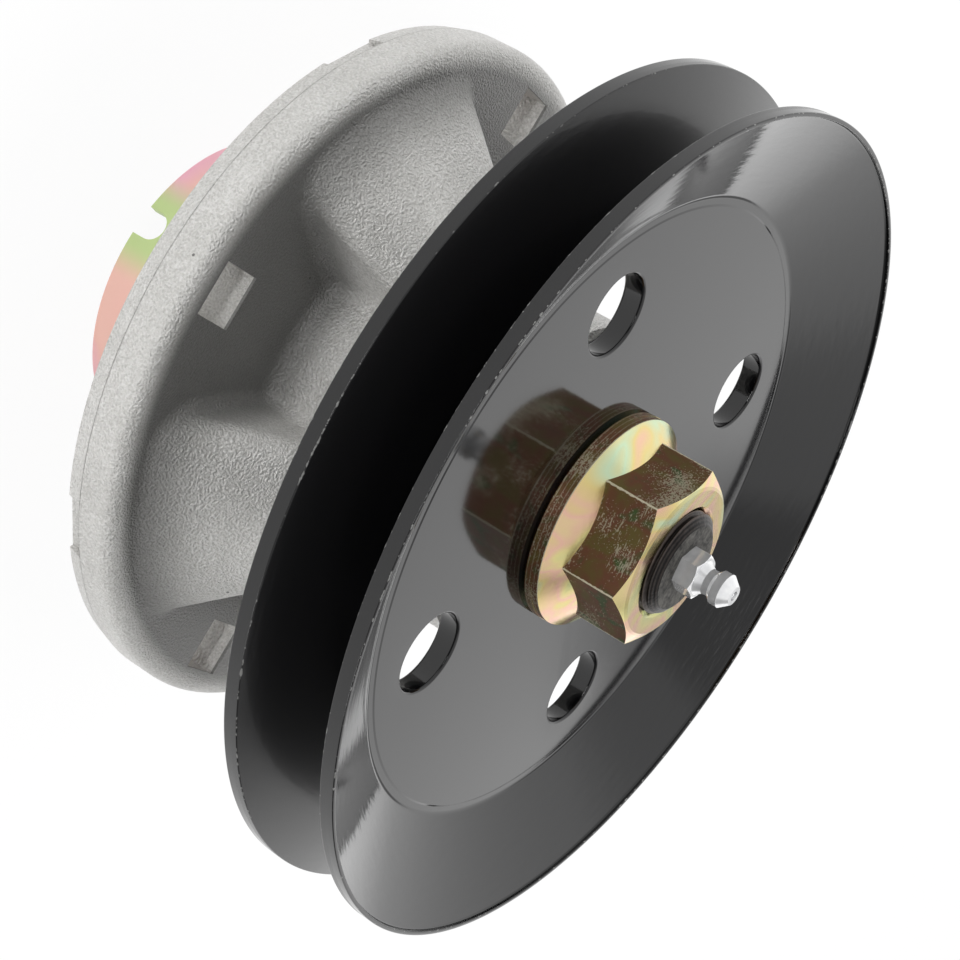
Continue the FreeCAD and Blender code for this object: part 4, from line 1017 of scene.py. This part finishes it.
bare_and_highlight = math_node(tree, "MAXIMUM", bare_and_highlight, multiply(tree, ring, 0.6))
flats = mix_colours(tree, bare_and_highlight, ramp(tree, smudge, FLATS), BARE_ZINC_AND_HIGHLIGHT)
on_top = math_node(tree, "GREATER_THAN", height, NUT_TOP_FROM)
colour = mix_colours(tree, multiply(tree, on_top, NUT_TOP_DULLNESS), colour, NUT_TOP_COLOUR)
tree.links.new(mix_colours(tree, upright, colour, flats), shader.inputs["Base Color"])
tree.links.new(scaled(tree, upright, 0.16, rough), shader.inputs["Roughness"])
worn = scaled(tree, upright, -0.35, 1.0)
worn = scaled(tree, rubbed_and_highlight, -0.5, worn)
tree.links.new(worn, shader.inputs["Metallic"])
print(gold_zinc.name, "with scratched wrench flats")

# %% Plated cup
_, cup_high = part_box("blade_cup")
NOTCH_GREEN = (0.60, 0.74, 0.34, 1)
NOTCH_TURN = math.radians(261.2)
NOTCH_TINT_REACH = 11.0 * MM
NOTCH_TINT_CORE = 4.0 * MM

rose_zinc, tree, shader, coordinates, colour, _ = plated(
    "rose_zinc", ROSE, scale=30.0, bands=1.6, shift=0.2, metallic=0.5, roughness=0.42)
x, y, _ = place(tree, "ShaderNodeSeparateXYZ", {0: coordinates}).outputs
flat = place(tree, "ShaderNodeCombineXYZ", {"X": x, "Y": y}).outputs[0]
tints = []
for turn in (NOTCH_TURN, NOTCH_TURN + math.pi):
    spot = Vector((math.cos(turn), math.sin(turn), 0)) * cup_high.x
    offset = place(tree, "ShaderNodeVectorMath", {0: flat, 1: spot}, operation="DISTANCE")
    tints.append(smooth_range(tree, offset.outputs["Value"], NOTCH_TINT_REACH, NOTCH_TINT_CORE))
green = mix_colours(tree, math_node(tree, "MAXIMUM", *tints), colour, NOTCH_GREEN)
tree.links.new(green, shader.inputs["Base Color"])
print(rose_zinc.name, "green near the notches")

# %% [markdown]
# ## Plain steels and rubber
#
# The fitting has bright clear zinc, the bearings inside are ground and polished, and the rings and
# seals are black. They share one recipe with different numbers. The shaft's dark machined steel
# has a recipe of its own, because its thread roots carry painted shade with lighter crests in
# their colour, and its end face is mottled.

# %% Plain metals
def plain_metal(name, colour, metallic, roughness, grain_scale, relief):
    """A metal of one colour with a grain in its tone, roughness and relief."""
    material, tree, shader, coordinates = new_material(name, Metallic=metallic)
    grain = use_group(tree, GRAIN, {"Vector": coordinates, "Grain scale": grain_scale,
                                    "Cloud scale": 150.0, "Cloud share": 0.5})
    low = tuple(0.75 * part for part in colour)
    high = tuple(min(1.0, 1.2 * part) for part in colour)
    mottled = ramp(tree, grain["Tone"], [(0.3, low), (0.7, high)])
    tree.links.new(mottled, shader.inputs["Base Color"])
    rough = scaled(tree, grain["Tone"], 0.16, roughness - 0.08)
    tree.links.new(rough, shader.inputs["Roughness"])
    add_bump(tree, shader, grain["Height"], relief, 0.5)
    return material


bright_zinc = plain_metal("bright_zinc", (0.95, 0.96, 0.98), 0.65, 0.16, 500.0, 0.004 * MM)
ground_steel = plain_metal("ground_steel", (0.62, 0.62, 0.63), 1.0, 0.25, 2500.0, 0.006 * MM)
turned_steel = plain_metal("turned_steel", (0.50, 0.50, 0.49), 1.0, 0.35, 1500.0, 0.02 * MM)
spring_steel = plain_metal("black_spring_steel", (0.10, 0.10, 0.105), 0.9, 0.4, 1800.0, 0.02 * MM)
polished_steel = plain_metal("polished_steel", (0.82, 0.82, 0.83), 1.0, 0.12, 2500.0, 0.002 * MM)
seal_rubber = plain_metal("seal_rubber", (0.025, 0.025, 0.027), 0.0, 0.6, 1800.0, 0.03 * MM)
print("plain metals and rubber ready")

# %% Threaded shaft steel
TURNING_FEED = 0.42 * MM

dark_steel, tree, shader, coordinates = new_material("dark_machined_steel", Metallic=0.65)
grain = use_group(tree, GRAIN, {
    "Vector": coordinates, "Grain scale": 1500.0, "Cloud scale": 300.0, "Cloud share": 0.5})
_, _, z, _, radius = about_axis(tree, coordinates)
on_face = math_node(tree, "GREATER_THAN", z, shaft_end - 0.02 * MM)
# Painted shade: the colour runs from dark in the thread roots to lighter on the crests.
thread_shade = place(tree, "ShaderNodeMapRange", {
    "Value": radius, "From Min": THREAD_RADIUS - THREAD_DEPTH,
    "From Max": THREAD_RADIUS}).outputs[0]
turning = math_node(tree, "SINE", multiply(tree, z, 2 * math.pi / TURNING_FEED))
face_colour = ramp(tree, grain["Tone"], [
    (0.38, (0.008, 0.007, 0.006)), (0.62, (0.12, 0.115, 0.105))])
tone_with_thread_shade = scaled(tree, thread_shade, 0.45, multiply(tree, grain["Tone"], 0.5))
tone_with_thread_shade = scaled(tree, turning, 0.12, tone_with_thread_shade)
colour_with_thread_shade = ramp(tree, tone_with_thread_shade, [(0.2, (0.004, 0.003, 0.003)), (0.8, (0.085, 0.068, 0.060))])
tree.links.new(mix_colours(tree, on_face, colour_with_thread_shade, face_colour), shader.inputs["Base Color"])
rough = scaled(tree, grain["Tone"], 0.3, 0.25)
tree.links.new(scaled(tree, on_face, 0.22, rough), shader.inputs["Roughness"])
relief = scaled(tree, turning, 0.3, grain["Height"])
add_bump(tree, shader, relief, 0.10 * MM, 0.8)
print(dark_steel.name, "with painted shade in its thread roots")

# %% [markdown]
# ## Dressing the pieces
#
# CAD pieces whose shape is right keep their mesh and get a finish. The pieces made here stand in
# for their CAD nodes. All but the coil ride on the spindle's body, so they move with the joints;
# the coil only has its place baked into its mesh.

# %% Finishes on the CAD pieces
FINISHES = {
    "housing": cast_metal, "blade_cup": rose_zinc, "nut_washer": gold_zinc, "flange_nut": gold_zinc,
    "grease_fitting_body": bright_zinc, "grease_fitting_ball": polished_steel,
    "grease_fitting_spring": turned_steel, "spindle_shaft": dark_steel,
    "pulley_upper_half": black_paint, "pulley_lower_half": black_paint,
    "lower_spacer": turned_steel, "top_spacer": turned_steel, "bearing_spacer": turned_steel,
    "lower_retaining_ring": spring_steel, "upper_retaining_ring": spring_steel,
}
BEARING_FINISHES = {
    "inner_race": ground_steel, "outer_race": ground_steel, "cage": turned_steel,
    "balls": polished_steel, "seal": seal_rubber}
for side in ("lower", "upper"):
    for part, finish in BEARING_FINISHES.items():
        FINISHES[f"{side}_bearing_{part}"] = finish


def dress(piece, finish):
    """Give a piece one finish."""
    piece.data.materials.clear()
    piece.data.materials.append(finish)


for name, piece in nodes.items():
    dress(piece, FINISHES[name])
print("finished CAD pieces:", len(nodes))

# %% Pieces made here
made = {"spindle_shaft": (shaft, "shaft_steel"), "grease_fitting_spring": (spring, "spring_wire")}
for node, piece in pulley_halves.items():
    made[node] = (piece, "black_paint")
for node, (piece, slot) in made.items():
    dress(piece, FINISHES[node])
    if piece is spring:
        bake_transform(piece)
    else:
        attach(piece, "spindle")
    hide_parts(node)
print("pieces made here:", sorted(piece.name for piece, _ in made.values()))
